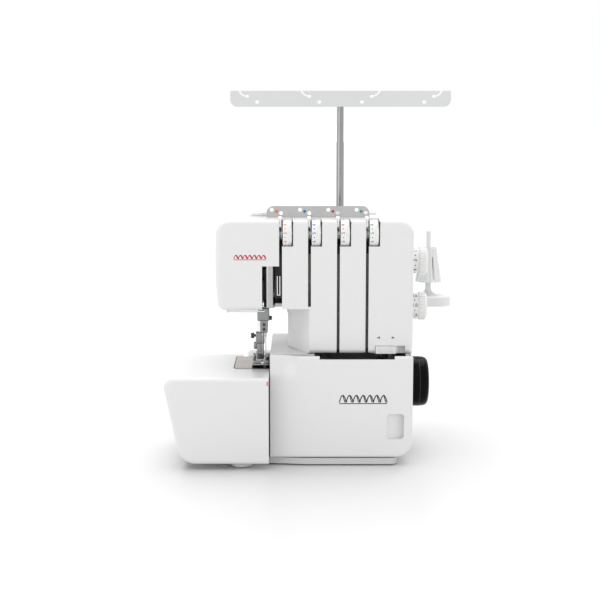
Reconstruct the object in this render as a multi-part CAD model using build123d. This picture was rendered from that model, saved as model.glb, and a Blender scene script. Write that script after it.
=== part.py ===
"""Four-thread serger (overlock) sewing machine, as an assembly of separate pieces.

Frame: +X to the operator's right, +Y away from the operator, +Z up, millimetres.
Origin: centre of the machine's box, on the table it stands on.
"""
from build123d import *
import math
import os

# ---------------------------------------------------------------- driving sizes
overall_width = 368.0      # side cover's left edge to the spool stand's right end
overall_depth = 250.0      # side cover's face to the spool stand's rear edge
head_top = 300.0           # table to the top of the head
bed_top = 113.0            # table to the cloth plate
deck_top = 136.0           # table to the deck that the column stands on
arm_under = 190.0          # table to the underside of the sewing head
wall = 2.6                 # moulded shell thickness
run = 0.06                 # radial running clearance of a shaft in its bore
gap = 0.3                  # clearance between pieces that don't touch

left_x = -overall_width / 2
right_x = overall_width / 2
front_y = -overall_depth / 2
back_y = overall_depth / 2

side_cover_proud = 20.0    # side cover's face stands this far in front of the looper cover
cover_y = front_y + side_cover_proud
cover_depth = 15.0         # looper cover, front to back
body_y = cover_y + cover_depth
stand_depth = 57.0         # spool tray, front to back
body_back = back_y - stand_depth - 3.0
parting_y = body_y + 70.0  # front and rear housings meet here
body_right = 118.0
seam_x = -57.0             # side cover and looper cover meet here
seam_gap = 1.2
column_left = -35.0
column_edge = -8.4         # where the column's slanted corner meets its face
corner_back = body_y + 55.0
head_left = -122.5
foot_height = 1.5          # table to the bottom pan
pan_height = 7.5
base_low = foot_height + pan_height
base_corner = 20.0         # radius of the base's and looper cover's lower right corner
bed_left = -90.0           # left edge of the bed's fixed rear corner

# threading slots and tension dials
slot_count = 4
slot_pitch = 35.0
first_slot_x = -43.4
slot_width = 3.6
slots = [first_slot_x + i * slot_pitch for i in range(slot_count)]
base_left = seam_x + 0.6
dial_radius = 17.5
dial_width = 11.0
dial_window_width = 13.0
dial_y = body_y + 14.5
dial_z = head_top - dial_radius - gap
window_gap = 0.87           # between the dial and its window, inside the shell's wall
dial_window_z = dial_z - math.sqrt(dial_radius ** 2 - (dial_y - body_y - wall) ** 2) - window_gap
post_radius = 2.0
plate_y = body_y + 22.0    # tension plate's front face

# sewing mechanism
needle_x, needle_y = -65.0, front_y + 85.0
needle_stroke = 27.0
needle_bar_radius = 3.2
presser_x, presser_y = -70.5, needle_y + 15.0
presser_bar_radius = 3.0
window_left, window_right = -66.0, first_slot_x + slot_width / 2
window_top = arm_under + 54.0

# main shaft and drive
shaft_radius = 5.0
shaft_y, shaft_z = body_y + 75.0, 87.0
bush_radius = 8.0
pulley_x0, pulley_x1 = 80.0, 88.0
pulley_radius = 28.0
motor_y, motor_z = body_back - 37.0, 47.0
motor_radius = 24.0
motor_pulley_radius = 8.0
belt_thickness = 1.6
handwheel_radius = 32.0
handwheel_x0 = body_right + 1.5
handwheel_x1 = handwheel_x0 + 24.5

# spool stand
pole_x, pole_y = 34.0, body_back + 30.0
spool_pitch = (right_x - pole_x - 29.5) / 1.5
spools = [pole_x + (i - 1.5) * spool_pitch for i in range(4)]
tray_top = 184.0
tray_height = 13.0
stem_height = 18.0
cone_height = 46.0
spool_pin_top = tray_top + 87.0
pole_outer_radius = 5.0
pole_inner_radius = 4.4
pole_split = 390.0         # height of the outer tube's lip
bar_half = right_x - pole_x - 3.5
bar_height = 22.0
bar_tilt = 20.0
bar_z = 447.0              # middle of the guide bar

dials_x0 = body_right + gap
side_dial_y = parting_y - 16.0
stitch_dial_z, feed_dial_z = 245.0, 188.0


# ---------------------------------------------------------------- small helpers
def block(x0, x1, y0, y1, z0, z1):
    """Box between two corners."""
    return Pos((x0 + x1) / 2, (y0 + y1) / 2, (z0 + z1) / 2) * Box(x1 - x0, y1 - y0, z1 - z0)


def rod_x(radius, x0, x1, y, z):
    return Pos((x0 + x1) / 2, y, z) * Rot(0, 90, 0) * Cylinder(radius, x1 - x0)


def rod_y(radius, y0, y1, x, z):
    return Pos(x, (y0 + y1) / 2, z) * Rot(90, 0, 0) * Cylinder(radius, y1 - y0)


def rod_z(radius, z0, z1, x, y):
    return Pos(x, y, (z0 + z1) / 2) * Cylinder(radius, z1 - z0)


def outline(points, radii=None):
    """Polygon face; radii is {corner index: radius}."""
    face = make_face(Polyline(*points, close=True))
    for index, radius in (radii or {}).items():
        corner = face.vertices().sort_by_distance((*points[index], 0))[0]
        face = fillet(corner, radius)
    return face


def from_front(face, y0, y1):
    """Extrude an (x, z) outline from y0 to y1."""
    plane = Plane(origin=(0, y1, 0), x_dir=(1, 0, 0), z_dir=(0, -1, 0))
    return extrude(plane * face, y1 - y0)


def from_side(face, x0, x1):
    """Extrude a (y, z) outline from x0 to x1."""
    plane = Plane(origin=(x0, 0, 0), x_dir=(0, 1, 0), z_dir=(1, 0, 0))
    return extrude(plane * face, x1 - x0)


def from_above(face, z0, z1):
    """Extrude an (x, y) outline from z0 to z1."""
    return extrude(Plane.XY.offset(z0) * face, z1 - z0)


def edges_at(shape, axis, value, tolerance=0.05):
    """Edges that lie wholly in the plane axis = value."""
    low = shape.edges().filter_by_position(axis, value - tolerance, value + tolerance)
    return low


def turned(points_radius_x):
    """Solid of revolution about the X axis from (x, radius) points."""
    points = [(points_radius_x[0][0], 0), *points_radius_x, (points_radius_x[-1][0], 0)]
    face = make_face(Polyline(*points, close=True))
    return revolve(face, Axis.X)


def turned_z(points_radius_z):
    """Solid of revolution about the Z axis from (radius, z) points."""
    points = [(0, points_radius_z[0][1]), *points_radius_z, (0, points_radius_z[-1][1])]
    face = Plane.XZ * make_face(Polyline(*points, close=True))
    return revolve(face, Axis.Z)


def group(*shapes):
    """Several separate solids as one node."""
    return Compound(children=[s for shape in shapes for s in shape.solids()])


nodes = {}


def node(name, shape):
    nodes[name] = shape


# ---------------------------------------------------------------- housings
def base_outline(inset=0.0):
    """Lower body seen from the front, right of the seam."""
    left, right = base_left + inset, body_right - inset
    low, high = base_low + inset, deck_top - inset
    points = [(left, low), (right, low), (right, high), (left, high)]
    return outline(points, {1: base_corner - inset, 2: 3.5 - inset})


def head_outline(inset=0.0):
    """Column and sewing head seen from the front."""
    left, right, top = head_left + inset, body_right - inset, head_top - inset
    low, under, inner = deck_top + gap - inset, arm_under + inset, column_left + inset
    left_side = ThreePointArc((left + 2.8, under), (left, (under + top) / 2 - 4), (left + 2.2, top))
    rest = Polyline((left + 2.2, top), (right, top), (right, low), (inner, low), (inner, under),
                    (left + 2.8, under))
    face = make_face([left_side, *rest.edges()])
    corners = [((left + 2.2, top), 18.0), ((right, top), 19.0), ((left + 2.8, under), 9.0)]
    for place, radius in corners:
        corner = face.vertices().sort_by_distance((*place, 0))[0]
        face = fillet(corner, radius - inset)
    throat = face.vertices().sort_by_distance((inner, under, 0))[0]
    return fillet(throat, 14.0 + inset)


def column_corner(inset=0.0):
    """Wedge cut from the column's front left corner, below the head."""
    shift = inset * 1.11
    points = [(column_left - 20, body_y - 5), (column_edge + shift + 2.4, body_y - 5),
              (column_left + shift, corner_back), (column_left - 20, corner_back)]
    return from_above(outline(points), deck_top - 20, arm_under + 1.5 + inset)


def front_housing():
    shell = from_front(head_outline(), body_y, parting_y)
    shell = fillet(edges_at(shell, Axis.Y, body_y), 6.0)
    shell -= column_corner()
    inside = from_front(head_outline(wall), body_y + wall, parting_y + 1)
    inside += block(column_left + wall + 0.01, body_right - wall, body_y + wall, parting_y + 1,
                    deck_top - 5, deck_top + wall + 6)
    inside -= column_corner(wall)
    shell -= inside
    # threading slots: the outer two run on down to the deck
    for index, x in enumerate(slots):
        bottom = (window_top - 1, arm_under + 4.5, deck_top - 1, deck_top - 1)[index]
        shell -= block(x - slot_width / 2, x + slot_width / 2, body_y - 1, body_y + 26, bottom,
                       head_top + 1)
        dial_left = x + slot_width / 2 - 0.01
        shell -= block(dial_left, dial_left + dial_window_width, body_y - 1, dial_y + dial_radius - 2,
                       dial_window_z, head_top + 1)
    # window for the needle bar, open below
    shell -= block(window_left, window_right, body_y - 1, body_y + 32, arm_under - 1, window_top)
    # passage for the needle and presser bars through the head's floor
    shell -= block(needle_x - 15, window_left + 0.01, body_y + 31.9, parting_y + 1,
                   arm_under - 1, arm_under + wall + 1)
    shell -= block(window_left, needle_x + 10, body_y + 31.9, parting_y + 1, arm_under - 1,
                   arm_under + wall + 1)
    # hem slide's slot at the foot of the column, with the track behind it
    shell -= block(hem_x0, hem_x1, body_y - 1, body_y + wall + 1, deck_top - 1, hem_top)
    track_y = body_y + wall + 3.8
    shell += block(hem_x0 - 5, body_right - wall + 0.5, track_y, track_y + 2.2, deck_top + gap,
                   hem_top + 8)
    shell += block(hem_x0 - 5, body_right - wall + 0.5, body_y + wall - 0.01, track_y + 0.01,
                   hem_top + 5.5, hem_top + 8)
    # posts that carry the tension plate
    for x, z in plate_posts:
        shell += rod_y(3.5, body_y + wall - 0.5, plate_y, x, z)
    # holes for the two side dials' shafts and the pressure dial
    for z in (stitch_dial_z, feed_dial_z):
        shell -= rod_x(dial_shaft_radius + run, body_right - wall - 4, body_right + 2,
                       side_dial_y, z)
    shell += rod_z(15.0, head_top, head_top + 1.5, presser_x + 2, presser_y + 3)
    shell -= rod_z(presser_bar_radius + 1.0, head_top - wall - 5, head_top + 5, presser_x, presser_y)
    return shell


def rear_housing():
    shell = from_front(head_outline(), parting_y, body_back)
    shell = fillet(edges_at(shell, Axis.Y, body_back), 8.0)
    inside = from_front(head_outline(wall), parting_y - 1, body_back - wall)
    inside += block(column_left + wall + 0.01, body_right - wall, parting_y - 1, body_back - wall,
                    deck_top - 5, deck_top + wall + 6)
    shell -= inside
    shell -= rod_y(lifter_radius + run, body_back - wall - 8, body_back + 5, presser_x, lifter_z)
    # ventilation louvres and the carrying grip
    for i in range(5):
        z = 205.0 + 9.0 * i
        shell -= block(-12, 18, body_back - wall - 1, body_back + 1, z, z + 3)
    shell -= block(8, 78, parting_y + 20, parting_y + 42, head_top - wall - 1, head_top + 1)
    pocket = block(5.5, 80.5, parting_y + 17.5, parting_y + 44.5, head_top - 22, head_top - 1)
    pocket -= block(8, 78, parting_y + 20, parting_y + 42, head_top - 19.5, head_top + 1)
    return shell + pocket


def base_housing():
    front = body_y + 0.5
    shell = from_front(base_outline(), front, body_back)
    shell = fillet(edges_at(shell, Axis.Y, body_back), 6.0)
    shell -= from_front(base_outline(wall), front - 1, body_back - wall)
    # fixed corner of the bed behind the needle plate
    bed = [(bed_left, base_low), (seam_x + 3, base_low), (seam_x + 3, bed_top), (bed_left, bed_top)]
    inner = [(bed_left + wall, base_low + wall), (seam_x + 3.3, base_low + wall),
             (seam_x + 3.3, bed_top - wall), (bed_left + wall, bed_top - wall)]
    bed_front = plate_back + 3.2
    shell += from_front(outline(bed, {3: 4.0}), bed_front, body_back - 4)
    shell -= from_front(outline(inner, {3: 1.5}), bed_front - 1, body_back - 4 - wall)
    # the deck is open under the column, and at the looper bay's front edge
    inside_right = body_right - wall - 6
    shell -= block(-2, inside_right, front - 1, body_back - 12, deck_top - wall - 1, deck_top + 1)
    shell -= block(column_left + 4, inside_right, corner_back + 1, body_back - 12,
                   deck_top - wall - 1, deck_top + 1)
    # left wall is open where the frame, feed and knife drive reach the bed
    inner_left = base_left + wall + 0.8
    shell -= block(seam_x, inner_left, front - 1, bed_front - 1, base_low + wall, bed_top + 12)
    shell -= block(seam_x, inner_left, plate_front, plate_front + 18, bed_top, deck_top - wall - 0.5)
    shell -= rod_x(handwheel_hub_radius + 1.5, body_right - wall - 2, body_right + 2, shaft_y,
                   shaft_z)
    shell -= block(body_right - wall - 2, body_right + 2, inlet_y0, inlet_y1, inlet_z0, inlet_z1)
    return shell


def base_pan():
    low = foot_height
    strip_y = cover_y + 1.5
    points = [(-128, body_y + 1), (-14, strip_y), (100, strip_y), (100, body_back - 3),
              (-128, body_back - 3)]
    pan = from_above(outline(points, {0: 12, 2: 10, 3: 10, 4: 12}), low, base_low)
    inner = [(-124, body_y + 5), (-12, body_y + 1), (96, body_y + 1), (96, body_back - 7),
             (-124, body_back - 7)]
    pan -= from_above(outline(inner, {0: 9, 2: 7, 3: 7, 4: 9}), low + wall, low + 10)
    # tongue under the side cover, which carries the front left foot
    x, y = feet[0]
    tongue = [(x - 13, body_y + 4), (x - 13, y - 13), (x + 13, y - 13), (x + 13, body_y + 4)]
    pan += from_above(outline(tongue, {1: 12, 2: 12}), low, low + foot_stem_height)
    for x, y in feet:
        pan -= rod_z(foot_stem_radius, low - 1, low + 10, x, y)
    return pan


def rubber_feet():
    pieces = []
    for x, y in feet:
        foot = turned_z([(9.0, 0), (11.0, foot_height - 0.5), (11.0, foot_height),
                         (foot_stem_radius, foot_height),
                         (foot_stem_radius, foot_height + foot_stem_height)])
        pieces.append(Pos(x, y, 0) * foot)
    return group(*pieces)


# ---------------------------------------------------------------- covers
side_lean = 0.2095         # the side cover's left wall narrows by this much per mm of height
pivot_x, pivot_y = -100.0, body_y + 114.0
side_cover_back = pivot_y + 6.0
side_cover_low = 6.5


def side_outline(inset=0.0):
    """Side cover seen from the front: upright at the seam, leaning at the left."""
    radius = 12.0
    lean = math.atan(side_lean)
    reach = radius * ((1 + math.sin(lean)) / math.cos(lean) - 1)
    top_left = left_x - reach + inset * 1.15
    right, top, low = seam_x - seam_gap / 2, bed_top - inset, side_cover_low
    bottom_left = left_x - reach + (bed_top - low) * side_lean + inset * 1.0
    if inset:
        right += 5
        low -= 5
    points = [(right, low), (right, top), (top_left, top), (bottom_left, low)]
    return outline(points, {2: radius - inset, 3: 22.0 - inset})


def side_cover():
    shell = from_front(side_outline(), front_y, side_cover_back)
    front_edges = edges_at(shell, Axis.Y, front_y).filter_by(
        lambda e: e.center().X < seam_x - 3 and e.center().Z > side_cover_low + 1)
    shell = fillet(front_edges, 5.0)
    shell -= from_front(side_outline(wall), front_y + wall, side_cover_back - wall)
    # back wall stops short of the hinge and of the bottom pan
    shell -= block(pivot_x - 8, seam_x + 5, pivot_y, side_cover_back + 1, 0, bed_top - wall)
    shell -= block(left_x, seam_x + 5, side_cover_back - wall - 1, side_cover_back + 1, 0, 18)
    # notch around the needle plate, open towards the seam and the bed's fixed corner
    notch = [(seam_x + 5, plate_front - 2.0), (plate_left - 1.0, plate_front - 2.0),
             (plate_left - 1.0, plate_back + 3.0), (pivot_x + 6, plate_back + 3.0),
             (pivot_x + 6, side_cover_back + 1), (seam_x + 5, side_cover_back + 1)]
    shell -= from_above(outline(notch, {1: 10.0}), bed_top - 10, bed_top + 5)
    # hinge boss under the top, and a lower hinge arm from the left wall
    boss = rod_z(5.0, bed_top - 15, bed_top - wall + 0.5, pivot_x, pivot_y)
    arm = block(left_x + 16, pivot_x, pivot_y - 5, pivot_y + 3, 30, 34)
    arm += rod_z(5.0, 30, 34, pivot_x, pivot_y)
    shell = shell + boss + arm
    shell -= rod_z(hinge_pin_radius + run, 25, bed_top - 5, pivot_x, pivot_y)
    return shell


def cover_outline(inset=0.0):
    left, right = seam_x + seam_gap / 2 + inset, body_right - 0.4 - inset
    low, high = 10.0 + inset, deck_top - inset
    points = [(left, low), (right, low), (right, high), (left, high)]
    if inset:
        points = [(left - 5, low), (right, low), (right, high + 5), (left - 5, high + 5)]
        return outline(points, {1: base_corner - inset})
    return outline(points, {1: base_corner, 2: 3.0})


rod_hinge_y, rod_hinge_z = cover_y + 6.0, 16.5
rod_hinge_radius = 1.5
cover_lugs = (-42.0, 20.0, 66.0)
bracket_arms = (-54.5, 6.0, 52.0)
scoop_radius = 60.0
scoop_depth = 11.5
scoop_x, scoop_z = seam_x, deck_top - 6
recess_x0, recess_x1, recess_z0, recess_z1 = 86.0, 107.0, 33.0, 64.5


def looper_cover():
    back = body_y
    shell = from_front(cover_outline(), cover_y, back)
    front_edges = edges_at(shell, Axis.Y, cover_y).filter_by(
        lambda e: e.center().X > seam_x + 3)
    shell = fillet(front_edges, 3.5)
    inside = from_front(cover_outline(wall), cover_y + wall, back + 1)
    scoop_y = cover_y + scoop_depth - scoop_radius
    inside -= Pos(scoop_x, scoop_y, scoop_z) * Sphere(scoop_radius + wall)
    # wall behind the finger recess
    pocket = [(recess_x0 - wall, cover_y), (recess_x1 + wall, cover_y),
              (recess_x1 + wall, cover_y + 11.5), (recess_x0 - wall, cover_y + 4.0)]
    inside -= from_above(outline(pocket), recess_z0 - wall, recess_z1 + wall)
    shell -= inside
    shell -= Pos(scoop_x, scoop_y, scoop_z) * Sphere(scoop_radius)
    hollow = [(recess_x0, cover_y - 1), (recess_x1, cover_y - 1), (recess_x1, cover_y + 9.0),
              (recess_x0, cover_y + 1.6)]
    cutter = from_above(outline(hollow), recess_z0, recess_z1)
    cutter = fillet(cutter.edges().filter_by(Axis.Y), 4.0)
    shell -= cutter
    # top edge is lower where the looper threads are laid in
    shell -= block(4, 95, cover_y - 1, back + 1, deck_top - 4.0, deck_top + 5)
    # bottom flange's rear edge and hinge lugs
    shell -= block(seam_x, body_right + 1, cover_y + 10, back + 1, 5, rod_hinge_z + 1.5)
    for x in cover_lugs:
        lug = rod_x(2.9, x, x + 5, rod_hinge_y, rod_hinge_z)
        lug += block(x, x + 5, rod_hinge_y - 4.5, rod_hinge_y, rod_hinge_z - 2.9, rod_hinge_z + 1.5)
        lug += block(x, x + 5, rod_hinge_y - 2.5, rod_hinge_y + 2.5, 10.5, rod_hinge_z)
        shell += lug
    for x in bracket_arms:
        shell -= block(x - 1.2, x + 13.2, rod_hinge_y - 3.25, rod_hinge_y + 3.4, rod_hinge_z - 3.4,
                       rod_hinge_z + 6)
    shell -= rod_x(rod_hinge_radius + run, seam_x - 1, body_right - 8, rod_hinge_y, rod_hinge_z)
    return shell


def cover_hinge_rod():
    return rod_x(rod_hinge_radius, cover_lugs[0] - 10, cover_lugs[2] + 8, rod_hinge_y, rod_hinge_z)


# ---------------------------------------------------------------- bed and needle plate
plate_left = -102.0
plate_right = seam_x - 2.2
plate_front = cover_y + 39.0
plate_back = cover_y + 119.0
plate_thick = 2.4
feed_slots = ((-80.0, -76.0), (-73.0, -69.0))


def needle_plate():
    points = [(plate_right, plate_front), (plate_left, plate_front), (plate_left, plate_back),
              (plate_right, plate_back)]
    plate = from_above(outline(points, {1: 9.0, 2: 4.0}), bed_top + gap - plate_thick,
                       bed_top + gap)
    for x0, x1 in feed_slots:
        plate -= block(x0 - 0.5, x1 + 0.5, needle_y - 9, needle_y + 27, bed_top - 5, bed_top + 5)
    for dx in needle_offsets:
        plate -= rod_z(1.6, bed_top - 5, bed_top + 5, needle_x + dx, needle_y)
    plate -= rod_z(screw_radius, bed_top - 5, bed_top + 5, *plate_screw)
    return plate


def machine_frame():
    floor_top = base_low + 7.0
    top = 228.0
    frame = block(bed_left + 3.5, body_right - base_corner, body_y + 32, body_back - 13,
                  base_low + wall, floor_top)
    frame += block(-106, bed_left + 4, body_y + 27, plate_back + 2, base_low + wall, floor_top)
    # uprights that carry the shafts
    frame += block(90.5, 96.5, body_y + 40, body_back - 15, floor_top - 1, top)
    frame += block(-30, -24, corner_back + 4, body_back - 15, floor_top - 1, top)
    frame += block(-64.5, -58.5, body_y + 60, body_back - 20, floor_top - 1, bed_top - 10)
    # bed support under the needle plate
    under = bed_top + gap - plate_thick
    frame += block(-106, -98, body_y + 27, plate_back - 2, floor_top - 1, under - 6)
    frame += block(-100, -84, body_y + 36, plate_back - 2, under - 9, under)
    frame += block(-100, -58.5, plate_back - 22, plate_back - 2, under - 9, under)
    frame += block(-60, -28, plate_back - 10, plate_back - 2, under - 9, under)
    frame -= rod_z(screw_radius, under - 12, under + 1, *plate_screw)
    # side cover's hinge lug
    frame += block(-106, pivot_x + 6, pivot_y - 20, pivot_y + 5, 78, 88)
    frame -= rod_z(hinge_pin_radius, 70, 95, pivot_x, pivot_y)
    # upper arm with the needle bar, presser bar and lifter bosses
    arm_y0, arm_y1 = corner_back + 22, corner_back + 34
    frame += block(-88, 96.5, arm_y0, arm_y1, 208, top)
    frame += block(-88, -54, needle_y - 9, arm_y1, 208, 222)
    frame += block(presser_x - 7, presser_x + 7, arm_y0, arm_y1, top - 1, lifter_z + 7)
    frame -= rod_z(needle_bar_radius + run, 200, 230, needle_x, needle_y)
    frame -= rod_z(presser_bar_radius + run, 200, 230, presser_x, presser_y)
    frame -= rod_y(lifter_radius + run, arm_y0 - 1, arm_y1 + 1, presser_x, lifter_z)
    # shaft and motor seats
    for x in (-61.5, -27.0, 93.5):
        frame -= rod_x(bush_radius, x - 5, x + 5, shaft_y, shaft_z)
    cradle = block(20, 60, motor_y - 14, motor_y + 14, floor_top - 1, motor_z - motor_radius + 6)
    frame += cradle - rod_x(motor_radius, 10, 70, motor_y, motor_z)
    # looper plate with its two pins
    frame += block(-22, 40, looper_y + 8, looper_y + 12, floor_top - 1, 112)
    frame += block(-22, 40, looper_y + 8, body_y + 44, floor_top - 1, floor_top + 6)
    for x, z in looper_pivots:
        frame += rod_y(looper_pin_radius, looper_y - 10, looper_y + 9, x, z)
    return frame


looper_y = body_y + 18.0
looper_pin_radius = 3.0
looper_pivots = ((-10.0, 60.0), (20.0, 84.0))
needle_offsets = (-2.0, 2.0)
screw_radius = 2.0
plate_screw = (-92.0, plate_back - 8.0)
hinge_pin_radius = 2.0
lifter_radius = 3.0
lifter_z = 236.0
dial_shaft_radius = 4.0
handwheel_hub_radius = 10.0
feet = ((-91, body_y - 14), (80, body_y + 10), (-100, body_back - 20), (82, body_back - 20))
foot_stem_radius, foot_stem_height = 3.5, 4.6
inlet_y0, inlet_y1, inlet_z0, inlet_z1 = body_back - 42.0, body_back - 14.0, 28.0, 74.0
switch_x, switch_z = body_right - 6.0, (inlet_z0 + inlet_z1 + 23.0) / 2
switch_pin_radius, switch_pin_reach = 1.2, 1.5
hem_x0, hem_x1, hem_top = 72.0, 108.5, 146.5
plate_posts = ((-25.0, 205.0), (9.0, 205.0), (44.0, 150.0), (44.0, 250.0), (84.0, 215.0))


def side_cover_pin():
    return rod_z(hinge_pin_radius, 26, bed_top - 5.5, pivot_x, pivot_y)


def lower_knife():
    blade = from_side(outline([(plate_front + 1, 92), (plate_front + 17, 92),
                               (plate_front + 17, bed_top - 0.2), (plate_front + 1, bed_top - 2.2)]),
                      plate_right + 0.1, plate_right + 1.3)
    holder = block(plate_right - 7.3, plate_right + 0.1, plate_front + 5, plate_front + 13, 92, 100)
    holder += block(-98, plate_right - 7.2, plate_front + 5, plate_front + 13, 92, 98)
    return group(blade, holder)


def upper_knife():
    x0 = plate_right + 1.4
    blade = from_side(outline([(plate_front + 1, bed_top + 3), (plate_front + 15, bed_top + 1.0),
                               (plate_front + 15, bed_top + 16), (plate_front + 1, bed_top + 16)]),
                      x0, x0 + 1.2)
    holder = from_side(outline([(plate_front + 3, bed_top + 8), (plate_front + 12, bed_top + 8),
                                (plate_front + 12, bed_top + 15), (plate_front + 3, bed_top + 15)]),
                       x0 + 1.2, x0 + 4.2)
    return group(blade, holder)


def feed_dogs():
    """Main and differential dogs on one carrier."""
    pieces = []
    top = bed_top + gap - 0.6
    for x0, x1 in feed_slots:
        teeth = block(x0, x1, needle_y - 6, needle_y + 20, top - 9, top - 1.2)
        for i in range(13):
            y = needle_y - 6 + 2 * i
            teeth += from_side(outline([(y, top - 1.3), (y + 2, top - 1.3), (y + 1.4, top)]), x0, x1)
        pieces.append(teeth)
    carrier = block(-81.5, -67.5, needle_y - 8, needle_y + 22, top - 15, top - 9)
    return group(*pieces, carrier)


# ---------------------------------------------------------------- needle and presser
def needle_bar():
    bar = rod_z(needle_bar_radius, arm_under - 15, 268, needle_x, needle_y)
    return chamfer(bar.edges().filter_by(GeomType.CIRCLE), 0.5)


def needle_clamp():
    clamp = block(needle_x - 8.5, needle_x + 6.5, needle_y - 7, needle_y + 6, 170, 187)
    clamp = chamfer(clamp.edges().filter_by(Axis.Z), 2.0)
    lower = block(needle_x - 5.2, needle_x + 4.8, needle_y - 6, needle_y + 6, 155, 170)
    lower = chamfer(lower.edges().filter_by(Axis.Z), 1.5)
    clamp += lower
    clamp += rod_x(2.6, needle_x + 6, needle_x + 9.5, needle_y, 173)
    clamp -= rod_z(needle_bar_radius, arm_under - 15, 190, needle_x, needle_y)
    for dx in needle_offsets:
        clamp -= rod_z(1.0, 150, 166, needle_x + dx, needle_y)
    for z in (159.5, 165.5):
        clamp -= rod_y(1.5, needle_y - 10, needle_y - 3, needle_x, z)
    return clamp


def needles():
    pieces = []
    for dx in needle_offsets:
        needle = turned_z([(0.15, 124.0), (0.45, 128.0), (0.45, 148.0), (1.0, 150.0), (1.0, 166.0)])
        pieces.append(Pos(needle_x + dx, needle_y, 0) * needle)
    return group(*pieces)


def needle_screws():
    pieces = []
    for z in (159.5, 165.5):
        screw = rod_y(1.5, needle_y - 7.4, needle_y - 3, needle_x, z)
        screw -= block(needle_x - 2, needle_x + 2, needle_y - 8, needle_y - 6.8, z - 0.3, z + 0.3)
        pieces.append(screw)
    return group(*pieces)


foot_z = bed_top + gap + 0.25
foot_pin_y, foot_pin_z = presser_y + 2.0, foot_z + 7.5
heel_relief = 10.0


def presser_bar():
    bar = rod_z(presser_bar_radius, 142, head_top - 13, presser_x, presser_y)
    return chamfer(bar.edges().filter_by(GeomType.CIRCLE), 0.4)


def foot_ankle():
    ankle = block(presser_x - 5.5, presser_x + 5.5, presser_y - 6, presser_y + 5, foot_z + 4.6, 153)
    ankle = chamfer(ankle.edges().filter_by(Axis.Z), 1.2)
    ankle -= rod_z(presser_bar_radius, 142, 160, presser_x, presser_y)
    ankle -= rod_x(1.2 + run, presser_x - 8, presser_x + 8, foot_pin_y, foot_pin_z)
    ankle -= rod_x(1.6, presser_x - 8, presser_x - 2.9, presser_y, 148)
    lever = block(presser_x - 8.2, presser_x - 5.4, presser_y - 3, presser_y + 1, 131, 140)
    return ankle + lever


def ankle_screw():
    screw = rod_x(1.6, presser_x - 8, presser_x - 3.1, presser_y, 148)
    head = rod_x(3.6, presser_x - 11.4, presser_x - 7.4, presser_y, 148)
    head -= block(presser_x - 12, presser_x - 10.6, presser_y - 4, presser_y + 4, 147.6, 148.4)
    return screw + head


def presser_foot():
    front, back = needle_y - 24.0, foot_pin_y + 19.0
    rise = (back - foot_pin_y) * math.tan(math.radians(heel_relief))
    side = [(front, foot_z + 4.0), (front + 7, foot_z), (foot_pin_y, foot_z), (back, foot_z + rise),
            (back, foot_z + rise + 1.6), (foot_pin_y + 4, foot_z + 2.6), (front + 7, foot_z + 2.2),
            (front, foot_z + 5.4)]
    left, right = presser_x - 9.5, plate_right + 1.0
    sole = from_side(outline(side), left, right)
    sole -= block(needle_x - 4.2, needle_x + 4.6, needle_y - 7, needle_y + 7, foot_z - 1, foot_z + 8)
    sole -= block(needle_x + 0.6, needle_x + 1.8, front - 1, needle_y - 6, foot_z - 1, foot_z + 8)
    for x0, x1 in ((left, presser_x - 6.3), (presser_x + 6.3, right)):
        ear = block(x0, x1, foot_pin_y - 6, foot_pin_y + 5, foot_z + 1, foot_z + 11.5)
        sole += ear
    bridge = block(left, right, needle_y - 14, needle_y - 9.5, foot_z + 1, foot_z + 7)
    bridge = chamfer(bridge.edges().filter_by(Axis.X).sort_by(Axis.Z)[-2:], 1.2)
    sole += bridge
    sole -= rod_x(1.2, left + 1.5, right - 1.5, foot_pin_y, foot_pin_z)
    pin = rod_x(1.2, left + 1.6, right - 1.6, foot_pin_y, foot_pin_z)
    return group(sole, pin)


def presser_lifter():
    shaft = rod_y(lifter_radius, presser_y + 8, body_back + 8, presser_x, lifter_z)
    arm = [(presser_x - 6, lifter_z + 6), (presser_x - 6, lifter_z - 4), (presser_x - 2, lifter_z - 38),
           (presser_x + 12, lifter_z - 44), (presser_x + 12, lifter_z - 36), (presser_x + 6, lifter_z - 4),
           (presser_x + 6, lifter_z + 6)]
    radii = {0: 5.5, 3: 3.5, 4: 3.5, 6: 5.5}
    lever = from_front(outline(arm, radii), body_back + 0.6, body_back + 6.6)
    cam = from_front(outline([(presser_x - 5, lifter_z + 5), (presser_x - 5, lifter_z - 5),
                              (presser_x + 9, lifter_z - 3), (presser_x + 9, lifter_z + 3)]),
                     presser_y + 8, presser_y + 12)
    return lever + shaft + cam


def pressure_dial():
    knob = turned_z([(10.0, head_top + 1.8), (10.3, head_top + 4.6), (9.5, head_top + 5.4)])
    stem = turned_z([(presser_bar_radius, head_top - 5.7), (presser_bar_radius, head_top + 1.9)])
    knob = knob + stem
    knob -= block(-0.8, 0.8, -7.5, 7.5, head_top + 4.4, head_top + 6)
    return Pos(presser_x, presser_y, 0) * knob


def needle_bar_guard():
    guard = rod_z(4.8, arm_under + 2.5, window_top + 16, first_slot_x - 11.6, body_y + 10)
    guard = chamfer(guard.edges().filter_by(GeomType.CIRCLE), 0.8)
    arm = block(first_slot_x - 14, first_slot_x - 9, body_y + 9, plate_y, window_top + 8,
                window_top + 14)
    return guard + arm


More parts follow.
